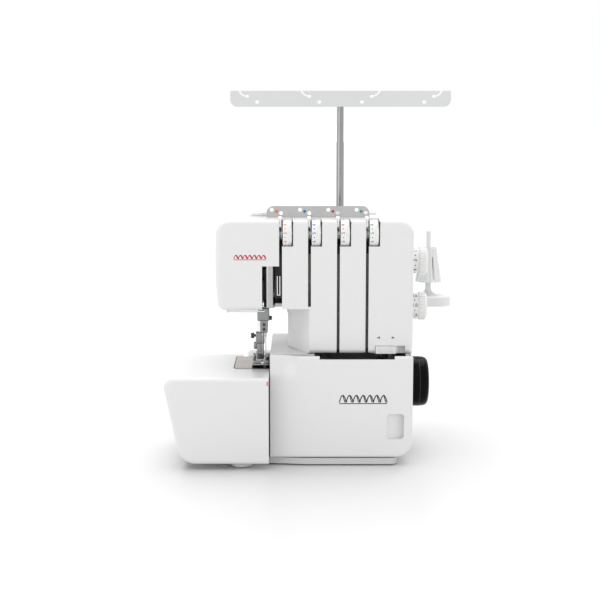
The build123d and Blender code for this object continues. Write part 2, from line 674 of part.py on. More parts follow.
def face_thread_guides():
    """Bar under the head, and a wire loop inside the needle window."""
    z = arm_under - 2.2
    y = body_y + 8
    bar = rod_x(1.1, head_left + 14, needle_x + 2, y, z)
    bar += Pos(head_left + 14, y, z) * Sphere(1.6)
    bar += block(head_left + 28, needle_x - 6, y - 3, y + 9, arm_under - 1.2, arm_under)
    x = window_right - 4.6
    low, high = arm_under + 16, arm_under + 40
    y = plate_y - 4
    wire = block(x - 2.1, x - 1.1, y - 0.5, y + 0.5, low, high)
    wire += block(x + 1.1, x + 2.1, y - 0.5, y + 0.5, low, high)
    wire += block(x - 2.1, x + 2.1, y - 0.5, y + 0.5, low, low + 1)
    wire += block(x - 2.1, x - 1.1, y - 0.5, plate_y, high - 1, high)
    wire += block(x + 1.1, x + 2.1, y - 0.5, plate_y, high - 1, high)
    return group(bar, wire)


# ---------------------------------------------------------------- tension units
def tension_plate():
    points = [(slots[0] - 12, arm_under + 12), (slots[1] + 10, arm_under + 12),
              (slots[1] + 10, deck_top + 6), (slots[3] + 26, deck_top + 6),
              (slots[3] + 26, head_top - 4), (slots[0] - 12, head_top - 4)]
    plate = from_front(outline(points), plate_y, plate_y + 1.6)
    for x in slots:
        plate -= block(x - 2.5, x + 15.5, plate_y - 1, plate_y + 3, dial_z - dial_radius - 1.5,
                       head_top)
        plate += block(x - 8.5, x - 5.5, dial_y - 6, plate_y + 1.6, dial_z - 6, dial_z + 6)
    return plate


def tension_units():
    """Post and two discs at each slot."""
    pieces = []
    for x in slots:
        pieces.append(rod_x(post_radius, x - 5.5, x + 15.0, dial_y, dial_z))
        for x0 in (x - 1.3, x + 0.5):
            disc = rod_x(9.0, x0, x0 + 0.8, dial_y, dial_z) - rod_x(post_radius, x0 - 1, x0 + 2,
                                                                    dial_y, dial_z)
            pieces.append(disc)
        washer = rod_x(3.5, x - 4.0, x - 1.3, dial_y, dial_z) - rod_x(post_radius, x - 6, x, dial_y,
                                                                      dial_z)
        pieces.append(washer)
    return group(*pieces)


def tension_dial(x):
    x0 = x + slot_width / 2 + 0.8
    x1 = x0 + dial_width
    rim = turned([(x0, dial_radius - 0.8), (x0 + 0.8, dial_radius), (x1 - 0.8, dial_radius),
                  (x1, dial_radius - 0.8)])
    dial = Pos(0, dial_y, dial_z) * rim
    dial -= rod_x(post_radius + run, x0 - 1, x1 + 1, dial_y, dial_z)
    ridge = 2 * math.pi / 40
    for i in range(40):
        a = ridge * i
        y, z = dial_y + dial_radius * math.cos(a), dial_z + dial_radius * math.sin(a)
        dial -= rod_x(0.55, x1 - 3.2, x1 + 1, y, z)
    return dial


def top_thread_guide():
    y = body_y + 44.0
    left, right = slots[0] - 18.0, slots[3] + 4.6
    points = [(left, head_top), (right, head_top), (right, head_top + 14), (left, head_top + 14)]
    plate = from_front(outline(points, {2: 9.0, 3: 9.0}), y, y + 1.2)
    plate += block(left, right, y, y + 6, head_top, head_top + 1.2)
    for x in slots:
        plate -= rod_y(2.4, y - 1, y + 3, x - 11.5, head_top + 9.4)
        plate -= rod_y(2.4, y - 1, y + 3, x, head_top + 5.2)
    return plate


def slot_thread_guides():
    """Small hooks that lead each thread from the top guide into its slot."""
    pieces = []
    for x in slots:
        side = [(body_y + 4, head_top), (body_y + 18, head_top), (body_y + 18, head_top + 2.4),
                (body_y + 9, head_top + 4.2), (body_y + 4, head_top + 2.0)]
        hook = from_side(outline(side, {3: 2.0}), x - 2.8, x + 1.2)
        tongue = [(body_y + 2, head_top - 8), (body_y + 5, head_top - 8), (body_y + 14, head_top),
                  (body_y + 4, head_top + 1), (body_y + 4, head_top)]
        hook += from_side(outline(tongue[:4]), x - slot_width / 2 + 0.2, x + 1.0)
        pieces.append(hook)
    return group(*pieces)


# ---------------------------------------------------------------- side dials, slide, power
def side_dial(z, drum_radius, flange_radius):
    """Dial with a numbered drum next to the housing and a ribbed flange outside."""
    x0 = dials_x0
    body = turned([(x0, drum_radius), (x0 + 9.7, drum_radius), (x0 + 10.2, flange_radius - 0.8),
                   (x0 + 11.0, flange_radius), (x0 + 18.0, flange_radius), (x0 + 20.6, flange_radius - 3)])
    body += turned([(body_right - 16, dial_shaft_radius), (x0 + 1, dial_shaft_radius)])
    dial = Pos(0, side_dial_y, z) * body
    count = 30
    for i in range(count):
        a = 2 * math.pi * i / count
        y, zz = side_dial_y + flange_radius * math.cos(a), z + flange_radius * math.sin(a)
        dial -= rod_x(0.9, x0 + 10.9, x0 + 21, y, zz)
    return dial


def hem_slide():
    z0, z1 = deck_top + 0.9, hem_top - 0.5
    back = body_y + wall
    knob = block(hem_x0 + 0.5, hem_x0 + 25.0, body_y - 2.2, back + 0.4, z0, z1)
    ribs = 9
    for i in range(ribs):
        x = hem_x0 + 3.5 + i * (25.0 - 7.0) / (ribs - 1) + 0.25
        knob -= block(x - 0.4, x + 0.4, body_y - 3, body_y - 1.6, z0 - 1, z1 + 1)
    slider = block(hem_x0 - 3.0, hem_x0 + 28.0, back + 0.3, back + 3.5, z0, hem_top + 5.2)
    return knob + slider


def power_inlet():
    depth = 20.0
    z_split = inlet_z0 + 24.0
    body = block(body_right - depth, body_right + 0.6, inlet_y0 + gap, inlet_y1 - gap,
                 inlet_z0 + gap, inlet_z1 - gap)
    socket = block(body_right - depth + 3, body_right + 2, inlet_y0 + 4, inlet_y1 - 4, inlet_z0 + 4,
                   z_split - 2)
    core = block(body_right - depth + 2, body_right - 1, inlet_y0 + 10.5, inlet_y1 - 10.5,
                 inlet_z0 + 8, z_split - 6)
    rocker_seat = block(body_right - depth + 3, body_right + 2, inlet_y0 + 4, inlet_y1 - 4,
                        z_split + 2, inlet_z1 - 3)
    pin_hole = rod_y(switch_pin_radius + run, inlet_y0 + 4 - switch_pin_reach - gap,
                     inlet_y1 - 4 + switch_pin_reach + gap, switch_x, switch_z)
    return (body - socket - rocker_seat - pin_hole) + core


def power_switch():
    """Rocker that tips about a pin across its seat."""
    y0, y1 = inlet_y0 + 4 + gap, inlet_y1 - 4 - gap
    z0, z1 = inlet_z0 + 26.0 + 0.9, inlet_z1 - 3.9
    face = [(switch_x, z0), (switch_x, z1), (body_right + 2.2, z1 - 0.2),
            (body_right + 0.4, switch_z), (body_right + 2.2, z0 + 0.2)]
    rocker = from_front(outline(face), y0, y1)
    return rocker + rod_y(switch_pin_radius, y0 - switch_pin_reach, y1 + switch_pin_reach,
                          switch_x, switch_z)


def main_shaft():
    shaft = rod_x(shaft_radius, -68, handwheel_x0 + 12, shaft_y, shaft_z)
    shaft += rod_x(11.0, -48, -40, shaft_y, shaft_z)
    return shaft


def shaft_bushes():
    pieces = []
    for x0, x1 in ((-64.5, -58.5), (-31.5, -22.5), (89.5, 97.5)):
        pieces.append(rod_x(bush_radius, x0, x1, shaft_y, shaft_z)
                      - rod_x(shaft_radius + run, x0 - 1, x1 + 1, shaft_y, shaft_z))
    return group(*pieces)


def handwheel():
    x0, x1 = handwheel_x0, handwheel_x1
    r = handwheel_radius
    rim = turned([(x0 + 1.2, r - 1.8), (x0 + 3.0, r - 0.3), (x0 + 10, r), (x1 - 5, r - 0.9),
                  (x1 - 1.6, r - 3.0), (x1, r - 7.5)])
    wheel = Pos(0, shaft_y, shaft_z) * rim
    wheel -= rod_x(r - 5, x0 - 1, x1 - 9, shaft_y, shaft_z) - rod_x(handwheel_hub_radius, x0 - 2, x1,
                                                                  shaft_y, shaft_z)
    wheel += rod_x(handwheel_hub_radius, body_right - 8, x0 + 12, shaft_y, shaft_z)
    wheel -= rod_x(shaft_radius, body_right - 10, x0 + 12.1, shaft_y, shaft_z)
    return wheel


def drive_pulley():
    wheel = turned([(pulley_x0 - 0.8, pulley_radius + 1.5), (pulley_x0, pulley_radius),
                    (pulley_x1, pulley_radius), (pulley_x1 + 0.8, pulley_radius + 1.5)])
    wheel = Pos(0, shaft_y, shaft_z) * wheel
    wheel -= rod_x(shaft_radius, pulley_x0 - 5, pulley_x1 + 5, shaft_y, shaft_z)
    for i in range(6):
        a = math.radians(60 * i)
        wheel -= rod_x(5.0, pulley_x0 - 5, pulley_x1 + 5, shaft_y + 17 * math.cos(a),
                       shaft_z + 17 * math.sin(a))
    return wheel


def motor_pulley():
    x0, x1 = pulley_x0 - 0.8, pulley_x1 + 0.8
    wheel = turned([(x0, motor_pulley_radius + 1.5), (pulley_x0, motor_pulley_radius),
                    (pulley_x1, motor_pulley_radius), (x1, motor_pulley_radius + 1.5)])
    shaft = turned([(60.5, 3.0), (x0 + 1, 3.0)])
    return Pos(0, motor_y, motor_z) * (wheel + shaft)


def motor():
    can = turned([(12, motor_radius - 2), (14, motor_radius), (62, motor_radius), (64, motor_radius - 2)])
    can = Pos(0, motor_y, motor_z) * can
    can += rod_x(9.0, 64, 68, motor_y, motor_z)
    can -= rod_x(3.0 + run, 60, 70, motor_y, motor_z)
    return can


def drive_belt():
    """Loop round both pulleys: two arcs and the two tangent runs between them."""
    big, small = pulley_radius + gap, motor_pulley_radius + gap
    dy, dz = motor_y - shaft_y, motor_z - shaft_z
    distance = math.hypot(dy, dz)
    heading = math.atan2(dz, dy)
    spread = math.acos((big - small) / distance)

    def loop(grow):
        corners = []
        for radius, centre in ((big + grow, (shaft_y, shaft_z)), (small + grow, (motor_y, motor_z))):
            for side in (1, -1):
                a = heading + side * spread
                corners.append((centre[0] + radius * math.cos(a), centre[1] + radius * math.sin(a)))
        a1, a2, b1, b2 = corners
        far_big = (shaft_y - (big + grow) * math.cos(heading), shaft_z - (big + grow) * math.sin(heading))
        far_small = (motor_y + (small + grow) * math.cos(heading),
                     motor_z + (small + grow) * math.sin(heading))
        return make_face([ThreePointArc(a1, far_big, a2).edge(), Line(a2, b2).edge(),
                          ThreePointArc(b2, far_small, b1).edge(), Line(b1, a1).edge()])

    return from_side(loop(belt_thickness), pulley_x0 + 1, pulley_x1 - 1) - from_side(
        loop(0), pulley_x0, pulley_x1)


def looper(pivot, points, tip, y0, y1):
    """Looper arm on its pin: hub, flat arm and a slim blade with a pointed tip."""
    x, z = pivot
    hub = rod_y(6.5, y0, y1, x, z)
    arm = from_front(outline(points), y0, y0 + 3.0)
    blade = from_front(outline(tip), y0 + 0.4, y0 + 2.4)
    body = hub + arm + blade
    return body - rod_y(looper_pin_radius + run, y0 - 5, y1 + 5, x, z)


def lower_looper():
    x, z = looper_pivots[0]
    arm = [(x - 5, z - 4), (x + 5, z - 4), (x + 5, z + 6), (x - 34, z + 34), (x - 38, z + 28)]
    tip = [(x - 32, z + 32), (x - 36, z + 26), (x - 40, z + 38), (x - 46, z + 43), (x - 36, z + 40)]
    return looper((x, z), arm, tip, looper_y, looper_y + 7.5)


def upper_looper():
    x, z = looper_pivots[1]
    arm = [(x - 4, z - 5), (x + 6, z - 5), (x + 6, z + 5), (x - 58, z + 22), (x - 60, z + 16)]
    tip = [(x - 56, z + 20), (x - 58, z + 15), (x - 66, z + 20), (x - 72, z + 28), (x - 62, z + 26)]
    return looper((x, z), arm, tip, looper_y - 9, looper_y - 1.5)


# ---------------------------------------------------------------- spool stand
def spool_stand():
    left, right = pole_x - (right_x - pole_x), right_x
    front, back = body_back + 3.0, back_y
    low = tray_top - tray_height
    corners = [(left, front), (right, front), (right, back), (left, back)]
    tray = from_above(outline(corners, {0: 20, 1: 20, 2: 24, 3: 24}), low, tray_top)
    tray = fillet(edges_at(tray, Axis.Z, tray_top), 2.0)
    inner = [(left + wall, front + wall), (right - wall, front + wall), (right - wall, back - wall),
             (left + wall, back - wall)]
    tray -= from_above(outline(inner, {0: 20 - wall, 1: 20 - wall, 2: 24 - wall, 3: 24 - wall}),
                       low - 1, tray_top - wall)
    bracket = block(pole_x - 34, pole_x + 34, body_back, pole_y + 9, low - 12, tray_top - 1)
    bracket = fillet(bracket.edges().filter_by(Axis.Y).sort_by(Axis.Z)[:2], 6.0)
    tray += bracket
    tray -= rod_z(pole_outer_radius, low - 8, tray_top + 1, pole_x, pole_y)
    for x in spools:
        boss = turned_z([(11.0, tray_top - 2.0), (11.0, tray_top + 0.2), (6.0, tray_top + 4.0),
                         (3.9, tray_top + 8.0), (3.6, tray_top + stem_height)])
        tray += Pos(x, pole_y, 0) * boss
        tray -= rod_z(3.0, tray_top - 5, tray_top + stem_height + 1, x, pole_y)
    return tray


def spool_pins():
    pieces = []
    for x in spools:
        pin = rod_z(3.0, tray_top - 5, spool_pin_top, x, pole_y)
        pieces.append(chamfer(pin.edges().sort_by(Axis.Z)[-1:], 0.8))
    return group(*pieces)


def cone_holder(x):
    """Hollow slotted cone that grips the inside of a thread cone."""
    low = tray_top + stem_height + gap
    high = low + cone_height
    t = 2.0
    outer = turned_z([(18.0, low), (11.0, high)])
    inner = turned_z([(18.0 - t, low - 0.01), (11.0 - t, high - t)])
    cone = outer - inner
    hub = rod_z(5.2, low, high - t + 0.1, 0, 0)
    cone = cone + hub
    for i in range(4):
        rib = block(4.5, 18.5 - t, -0.8, 0.8, low, high - t + 0.1)
        rib = Rot(0, 0, 45 + 90 * i) * rib
        cone += rib & turned_z([(18.0 - 0.5, low), (11.0 - 0.5, high)])
    for i in range(4):
        slit = block(8.0, 20, -1.1, 1.1, low - 1, high - 12)
        cone -= Rot(0, 0, 90 * i - 70) * slit
    cone -= rod_z(3.0 + run, low - 1, high + 1, 0, 0)
    return Pos(x, pole_y, 0) * cone


def pole_lower():
    top = pole_split
    bottom = tray_top - tray_height - 8
    tube = rod_z(pole_outer_radius, bottom, top, pole_x, pole_y)
    tube -= rod_z(pole_inner_radius + run, bottom + 2, top + 1, pole_x, pole_y)
    groove = rod_z(pole_outer_radius + 1, top - 13.5, top - 12.7, pole_x, pole_y)
    groove -= rod_z(pole_outer_radius - 0.25, top - 15, top - 10, pole_x, pole_y)
    return tube - groove


def pole_upper():
    bottom = pole_split - 42.0
    tube = rod_z(pole_inner_radius, bottom, bar_z, pole_x, pole_y)
    tube -= rod_z(pole_inner_radius - 0.8, bottom - 1, bar_z - 16, pole_x, pole_y)
    return tube


def guide_bar():
    """Flat bar with four hook slots and four plain eyes, on a holder that turns on the pole."""
    face = outline([(-bar_half, 0), (bar_half, 0), (bar_half, bar_height), (-bar_half, bar_height)],
                   {0: 10.0, 1: 10.0})
    plate = extrude(face, 1.5)
    for side in (-1, 1):
        for k in (0, 1):
            eye_x = side * (bar_half - 22.6 - k * (2 * bar_half - 45.2) / 3)
            plate -= Pos(eye_x, 14.6, 0) * Cylinder(2.4, 8)
            plate -= Pos(eye_x - side * 13.1, 6.6, 0) * Cylinder(2.7, 8)
            ring = Pos(eye_x, 14.6 + 11.0, 0) * (Cylinder(12.2, 8) - Cylinder(9.8, 8))
            sector = block(min(eye_x, eye_x + side * 16), max(eye_x, eye_x + side * 16), 12.0, 23.5,
                           -5, 5)
            plate -= ring & sector
    low = bar_z - bar_height * math.cos(math.radians(bar_tilt)) / 2
    slope = math.tan(math.radians(bar_tilt))
    foot_y = pole_y - 11.0
    plate = Pos(pole_x, foot_y, low) * Rot(90 - bar_tilt, 0, 0) * plate
    top = bar_z + 5.0
    holder = rod_z(pole_inner_radius + 2.2, bar_z - 9, top, pole_x, pole_y)
    holder += block(pole_x - 9, pole_x + 9, pole_y - 15, pole_y + 2, bar_z - 8, top)
    wedge = [(pole_y - 40, low - 40), (foot_y - 40 * slope, low - 40),
             (foot_y + 40 * slope, low + 40), (pole_y - 40, low + 40)]
    holder -= from_side(outline(wedge), pole_x - 20, pole_x + 20)
    holder -= rod_z(pole_inner_radius + run, bar_z - 12, bar_z + run, pole_x, pole_y)
    return plate, holder


def body_screws():
    """Needle plate screw, two front housing screws behind, and four pan screws."""
    pieces = []
    z = bed_top + gap
    x, y = plate_screw
    screw = rod_z(screw_radius, z - 11, z, x, y)
    screw -= block(x - 3, x + 3, y - 0.4, y + 0.4, z - 0.8, z + 1)
    pieces.append(screw)
    for x, zz in ((-108, 205), (-108, 285), (104, 285), (104, 152)):
        head = rod_y(3.2, body_back, body_back + 1.4, x, zz)
        head -= block(x - 2.4, x + 2.4, body_back + 0.7, body_back + 2, zz - 0.4, zz + 0.4)
        pieces.append(head)
    return group(*pieces)


def lamp_lens():
    lens = block(head_left + 12, head_left + 40, parting_y - 30, parting_y - 12, arm_under - 1.6,
                 arm_under)
    return chamfer(lens.edges().filter_by(Axis.Z), 3.0)


# ---------------------------------------------------------------- build and export
node("base_pan", base_pan())
node("rubber_feet", rubber_feet())
node("base_housing", base_housing())
node("front_housing", front_housing())
node("rear_housing", rear_housing())
node("machine_frame", machine_frame())
node("side_cover", side_cover())
node("side_cover_pin", side_cover_pin())
node("looper_cover", looper_cover())
node("cover_hinge_rod", cover_hinge_rod())
node("needle_plate", needle_plate())
node("body_screws", body_screws())
node("lower_knife", lower_knife())
node("upper_knife", upper_knife())
node("feed_dogs", feed_dogs())
node("needle_bar", needle_bar())
node("needle_clamp", needle_clamp())
node("needles", needles())
node("needle_screws", needle_screws())
node("presser_bar", presser_bar())
node("foot_ankle", foot_ankle())
node("ankle_screw", ankle_screw())
node("presser_foot", presser_foot())
node("presser_lifter", presser_lifter())
node("pressure_dial", pressure_dial())
node("needle_bar_guard", needle_bar_guard())
node("face_thread_guides", face_thread_guides())
node("tension_plate", tension_plate())
node("tension_units", tension_units())
for number, slot_x in enumerate(slots, start=1):
    node(f"tension_dial_{number}", tension_dial(slot_x))
node("top_thread_guide", top_thread_guide())
node("slot_thread_guides", slot_thread_guides())
node("stitch_length_dial", side_dial(stitch_dial_z, 15.5, 18.0))
node("differential_feed_dial", side_dial(feed_dial_z, 16.0, 17.6))
node("hem_slide", hem_slide())
node("power_inlet", power_inlet())
node("power_switch", power_switch())
node("main_shaft", main_shaft())
node("shaft_bushes", shaft_bushes())
node("handwheel", handwheel())
node("drive_pulley", drive_pulley())
node("motor_pulley", motor_pulley())
node("motor", motor())
node("drive_belt", drive_belt())
node("lower_looper", lower_looper())
node("upper_looper", upper_looper())
node("spool_stand", spool_stand())
node("spool_pins", spool_pins())
for number, spool_x in enumerate(spools, start=1):
    node(f"cone_holder_{number}", cone_holder(spool_x))
node("pole_lower", pole_lower())
node("pole_upper", pole_upper())
bar_plate, bar_holder = guide_bar()
node("guide_bar", bar_plate)
node("guide_bar_holder", bar_holder)
node("lamp_lens", lamp_lens())

os.makedirs("parts", exist_ok=True)
for name, shape in nodes.items():
    export_step(shape, f"parts/{name}.step")
print(len(nodes), "nodes")
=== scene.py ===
"""Looks of the overlock sewing machine: finishes, printed marks and detailed pieces.

Metres, +X to the operator's right, +Y away from the operator, +Z up.
"""
import math

import bmesh
import bpy
from mathutils import Matrix, Vector


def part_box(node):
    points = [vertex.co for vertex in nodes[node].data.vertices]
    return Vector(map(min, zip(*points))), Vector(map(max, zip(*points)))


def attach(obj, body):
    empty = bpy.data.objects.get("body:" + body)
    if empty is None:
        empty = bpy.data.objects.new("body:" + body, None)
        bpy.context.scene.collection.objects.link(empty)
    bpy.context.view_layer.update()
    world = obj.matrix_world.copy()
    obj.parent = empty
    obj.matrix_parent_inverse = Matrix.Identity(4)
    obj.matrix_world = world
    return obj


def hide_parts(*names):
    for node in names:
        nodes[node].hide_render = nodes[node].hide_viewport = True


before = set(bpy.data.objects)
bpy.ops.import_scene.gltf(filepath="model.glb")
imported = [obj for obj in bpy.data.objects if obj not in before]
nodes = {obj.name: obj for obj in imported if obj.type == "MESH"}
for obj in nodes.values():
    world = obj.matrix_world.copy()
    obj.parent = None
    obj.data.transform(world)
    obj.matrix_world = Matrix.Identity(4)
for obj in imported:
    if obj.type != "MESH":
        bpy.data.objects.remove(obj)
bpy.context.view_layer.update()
MM = 0.001


# ---------------------------------------------------------------- finishes
class Value:
    """One socket in a finish; arithmetic on it adds Math nodes."""

    def __init__(self, finish, socket):
        self.finish = finish
        self.socket = socket

    def _math(self, operation, *values):
        return self.finish.node("ShaderNodeMath", values, operation=operation)

    def __add__(self, other):
        return self._math("ADD", self, other)

    __radd__ = __add__

    def __sub__(self, other):
        return self._math("SUBTRACT", self, other)

    def __rsub__(self, other):
        return self._math("SUBTRACT", other, self)

    def __mul__(self, other):
        return self._math("MULTIPLY", self, other)

    __rmul__ = __mul__


class Finish:
    """A procedural material made round one Principled shader."""

    def __init__(self, name, constants=None):
        """Constants are one value for the whole surface, by socket name."""
        self.material = bpy.data.materials.new(name)
        self.material.use_nodes = True
        self.tree = self.material.node_tree
        self.shader = self.tree.nodes["Principled BSDF"]
        for socket, value in (constants or {}).items():
            self.shader.inputs[socket].default_value = value
        self.place = self.node("ShaderNodeTexCoord", output="Object")

    def node(self, kind, values=(), output=0, **settings):
        """Adds a node: its settings first, then its sockets by number or by name."""
        made = self.tree.nodes.new(kind)
        for key, value in settings.items():
            setattr(made, key, value)
        pairs = values.items() if isinstance(values, dict) else enumerate(values)
        for key, value in pairs:
            if isinstance(value, Value):
                self.tree.links.new(value.socket, made.inputs[key])
            else:
                made.inputs[key].default_value = value
        return Value(self, made.outputs[output])

    def drive(self, socket, value):
        self.tree.links.new(value.socket, self.shader.inputs[socket])

    def stretch(self, x, y, z):
        """Object coordinates scaled along each axis."""
        return self.node("ShaderNodeMapping", {"Vector": self.place, "Scale": (x, y, z)})

    def noise(self, scale, detail=3.0, rough=0.5, place=None):
        return self.node("ShaderNodeTexNoise", {"Vector": place or self.place, "Scale": scale,
                                                "Detail": detail, "Roughness": rough})

    def mix(self, amount, first, second):
        first = first if isinstance(first, Value) else (*first, 1.0)
        second = second if isinstance(second, Value) else (*second, 1.0)
        made = self.tree.nodes.new("ShaderNodeMix")
        made.data_type = "RGBA"
        for socket, value in ((made.inputs[0], amount), (made.inputs[6], first),
                              (made.inputs[7], second)):
            if isinstance(value, Value):
                self.tree.links.new(value.socket, socket)
            else:
                socket.default_value = value
        return Value(self, made.outputs[2])

    def bump(self, height, strength, distance):
        self.drive("Normal", self.node("ShaderNodeBump", {"Height": height, "Strength": strength,
                                                          "Distance": distance}))


def moulded(name, colour, rough, coat=0.0, grain=900.0, grain_height=0.04, drift=0.03, shine=0.5):
    """Moulded plastic: faint colour drift, a fine moulded skin and light handling marks."""
    finish = Finish(name, {"Coat Roughness": 0.12, "IOR": 1.5, "Coat Weight": coat,
                           "Specular IOR Level": shine})
    cloud = finish.noise(6.0, 1.0)
    darker = tuple(c * (1 - drift * 2) for c in colour)
    lighter = tuple(min(1.0, c * (1 + drift)) for c in colour)
    finish.drive("Base Color", finish.mix(cloud, darker, lighter))
    smudge = finish.noise(16.0, 2.0, 0.4)
    finish.drive("Roughness", (smudge - 0.5) * (rough * 0.16) + rough)
    finish.bump(finish.noise(grain, 2.0), grain_height, 0.0002)
    return finish.material


def metal(name, colour, rough, brush=(1.0, 1.0, 1.0), brush_height=0.08, worn=0.25):
    """Metal with fine lines along its brushing, and duller and brighter patches."""
    finish = Finish(name, {"Metallic": 1.0})
    patches = finish.noise(60.0, 5.0, 0.65)
    lines = finish.noise(350.0, 4.0, 0.6, finish.stretch(*brush))
    dull = tuple(c * (1 - worn) for c in colour)
    finish.drive("Base Color", finish.mix(patches, dull, colour))
    finish.drive("Roughness", (lines - 0.5) * rough * 1.2 + patches * rough * 0.5 + rough * 0.75)
    finish.bump(lines, brush_height, 0.0001)
    return finish.material


white = moulded("white_gloss_shell", (0.77, 0.77, 0.768), 0.3, coat=0.25, drift=0.004)
inner_white = moulded("grey_white_pan", (0.62, 0.62, 0.62), 0.42, grain=1400.0, grain_height=0.12)
milk = moulded("milk_white_dial", (0.84, 0.84, 0.83), 0.33, drift=0.015)
pale = moulded("pale_stand_plastic", (0.8, 0.805, 0.81), 0.36, grain=1500.0, grain_height=0.08)
clear_pale = moulded("translucent_guide_bar", (0.66, 0.665, 0.67), 0.34, coat=0.15)
black_gloss = moulded("black_gloss_wheel", (0.003, 0.003, 0.0035), 0.16, grain_height=0.004,
                      shine=0.07)
dark = moulded("dark_textured_plastic", (0.022, 0.022, 0.024), 0.55, grain=1100.0, grain_height=0.3)
slot_brown = moulded("warm_grey_slot_back", (0.6, 0.55, 0.51), 0.55, grain_height=0.15)
# painted shade: a near-black colour that stands for the shade on the inner tension plate
shadow_grey = moulded("painted_shadow_inner_plastic", (0.1, 0.095, 0.09), 0.6, grain_height=0.15)
rubber = moulded("grey_rubber", (0.55, 0.55, 0.55), 0.75, grain=1600.0, grain_height=0.35)
belt_rubber = moulded("belt_rubber", (0.02, 0.02, 0.02), 0.8, grain_height=0.4)
frosted = moulded("frosted_lens", (0.9, 0.88, 0.8), 0.45, drift=0.02)
chrome = metal("chrome_plate", (0.86, 0.86, 0.87), 0.09, brush=(1, 1, 0.2), brush_height=0.015,
               worn=0.12)
dark_chrome = metal("dark_chrome", (0.37, 0.37, 0.38), 0.14, brush=(1, 1, 0.1), brush_height=0.03)
guide_chrome = metal("thread_guide_chrome", (0.56, 0.56, 0.56), 0.2, brush=(0.1, 1, 1),
                     brush_height=0.03)
steel = metal("brushed_steel", (0.56, 0.56, 0.57), 0.3, brush=(0.1, 1, 1))
casting = metal("machined_clamp_steel", (0.34, 0.345, 0.35), 0.33, brush=(1, 1, 0.15),
                brush_height=0.15)
plate_steel = metal("needle_plate_steel", (0.47, 0.42, 0.39), 0.3, brush=(0.06, 1, 1),
                    brush_height=0.12, worn=0.12)
frame_iron = metal("cast_frame_metal", (0.3, 0.3, 0.31), 0.5, brush_height=0.3)
black_steel = metal("blackened_screw_steel", (0.09, 0.09, 0.095), 0.34, brush_height=0.05)
foot_steel = metal("foot_steel", (0.42, 0.42, 0.425), 0.24, brush=(1, 0.12, 1), brush_height=0.12)
sleeve_chrome = metal("sleeve_chrome", (0.55, 0.55, 0.56), 0.1, brush=(1, 1, 0.1),
                      brush_height=0.03)


def ink(name, colour):
    """Printed ink: slightly uneven, a little duller than the plastic it is printed on."""
    finish = Finish(name)
    finish.drive("Base Color", finish.mix(finish.noise(2200.0, 2.0), colour,
                                          tuple(c * 0.8 for c in colour)))
    finish.drive("Roughness", finish.noise(900.0) * 0.2 + 0.35)
    return finish.material


orange = ink("orange_ink", (0.86, 0.2, 0.03))
blue = ink("blue_ink", (0.01, 0.17, 0.55))
maroon = ink("maroon_ink", (0.55, 0.05, 0.07))
green = ink("green_ink", (0.0, 0.38, 0.17))
black_ink = ink("black_ink", (0.02, 0.02, 0.025))
red_ink = ink("red_ink", (0.6, 0.01, 0.03))
pink = ink("pink_mark", (0.9, 0.22, 0.35))
grey_ink = ink("grey_ink", (0.16, 0.16, 0.165))
thread_inks = (orange, blue, maroon, green)

by_finish = {
    white: ["base_housing", "front_housing", "rear_housing", "side_cover", "looper_cover"],
    inner_white: ["base_pan"],
    milk: ["tension_dial_1", "tension_dial_2", "tension_dial_3", "tension_dial_4",
           "stitch_length_dial", "differential_feed_dial", "hem_slide", "pressure_dial",
           "slot_thread_guides"],
    pale: ["spool_stand", "cone_holder_1", "cone_holder_2", "cone_holder_3", "cone_holder_4",
           "spool_pins", "guide_bar_holder"],
    clear_pale: ["guide_bar"],
    black_gloss: ["handwheel"],
    dark: ["power_inlet", "power_switch", "motor_pulley", "drive_pulley", "presser_lifter"],
    shadow_grey: ["tension_plate"],
    rubber: ["rubber_feet"],
    belt_rubber: ["drive_belt"],
    frosted: ["lamp_lens"],
    chrome: ["needle_bar_guard", "face_thread_guides", "needle_bar", "presser_bar"],
    dark_chrome: ["pole_lower", "pole_upper"],
    guide_chrome: ["top_thread_guide"],
    steel: ["body_screws", "upper_knife", "lower_knife", "feed_dogs", "needles", "needle_screws",
            "tension_units", "upper_looper", "lower_looper", "main_shaft", "shaft_bushes",
            "side_cover_pin", "cover_hinge_rod", "ankle_screw"],
    casting: ["needle_clamp", "foot_ankle", "presser_foot"],
    plate_steel: ["needle_plate"],
    frame_iron: ["machine_frame", "motor"],
}
for material, names in by_finish.items():
    for name in names:
        mesh = nodes[name].data
        mesh.materials.clear()
        mesh.materials.append(material)


# ---------------------------------------------------------------- studio
CAMERA_PLACE = (-0.0199, -1.5868, 0.4186)
CAMERA_DIP, CAMERA_LENS = 0.1431, 74.7          # radians below level, millimetres
SURROUND, KEY_WATTS = 1.0, 4.0
OVERHEAD_STRENGTH, OVERHEAD_TILT = 1.5, math.radians(22)


def clear_selection():
    """Object mode with nothing selected."""
    if bpy.context.object and bpy.context.object.mode != "OBJECT":
        bpy.ops.object.mode_set(mode="OBJECT")
    bpy.ops.object.select_all(action="DESELECT")


def studio_camera():
    """Straight in front of the machine, looking slightly down."""
    clear_selection()
    bpy.ops.object.camera_add(location=CAMERA_PLACE,
                              rotation=(math.pi / 2 - CAMERA_DIP, 0, 0))
    camera = bpy.context.object
    camera.name = "studio_camera"
    camera.data.sensor_width = 36.0
    camera.data.lens = CAMERA_LENS
    bpy.context.scene.camera = camera


def softbox(name, place, size, watts):
    """Square soft light that points at the middle of the machine."""
    clear_selection()
    bpy.ops.object.light_add(type="AREA", location=place)
    lamp = bpy.context.object
    lamp.name = name
    lamp.data.shape = "SQUARE"
    lamp.data.size = size
    lamp.data.energy = watts
    towards = Vector((0, 0, 0.2)) - Vector(place)
    lamp.rotation_euler = towards.to_track_quat("-Z", "Y").to_euler()


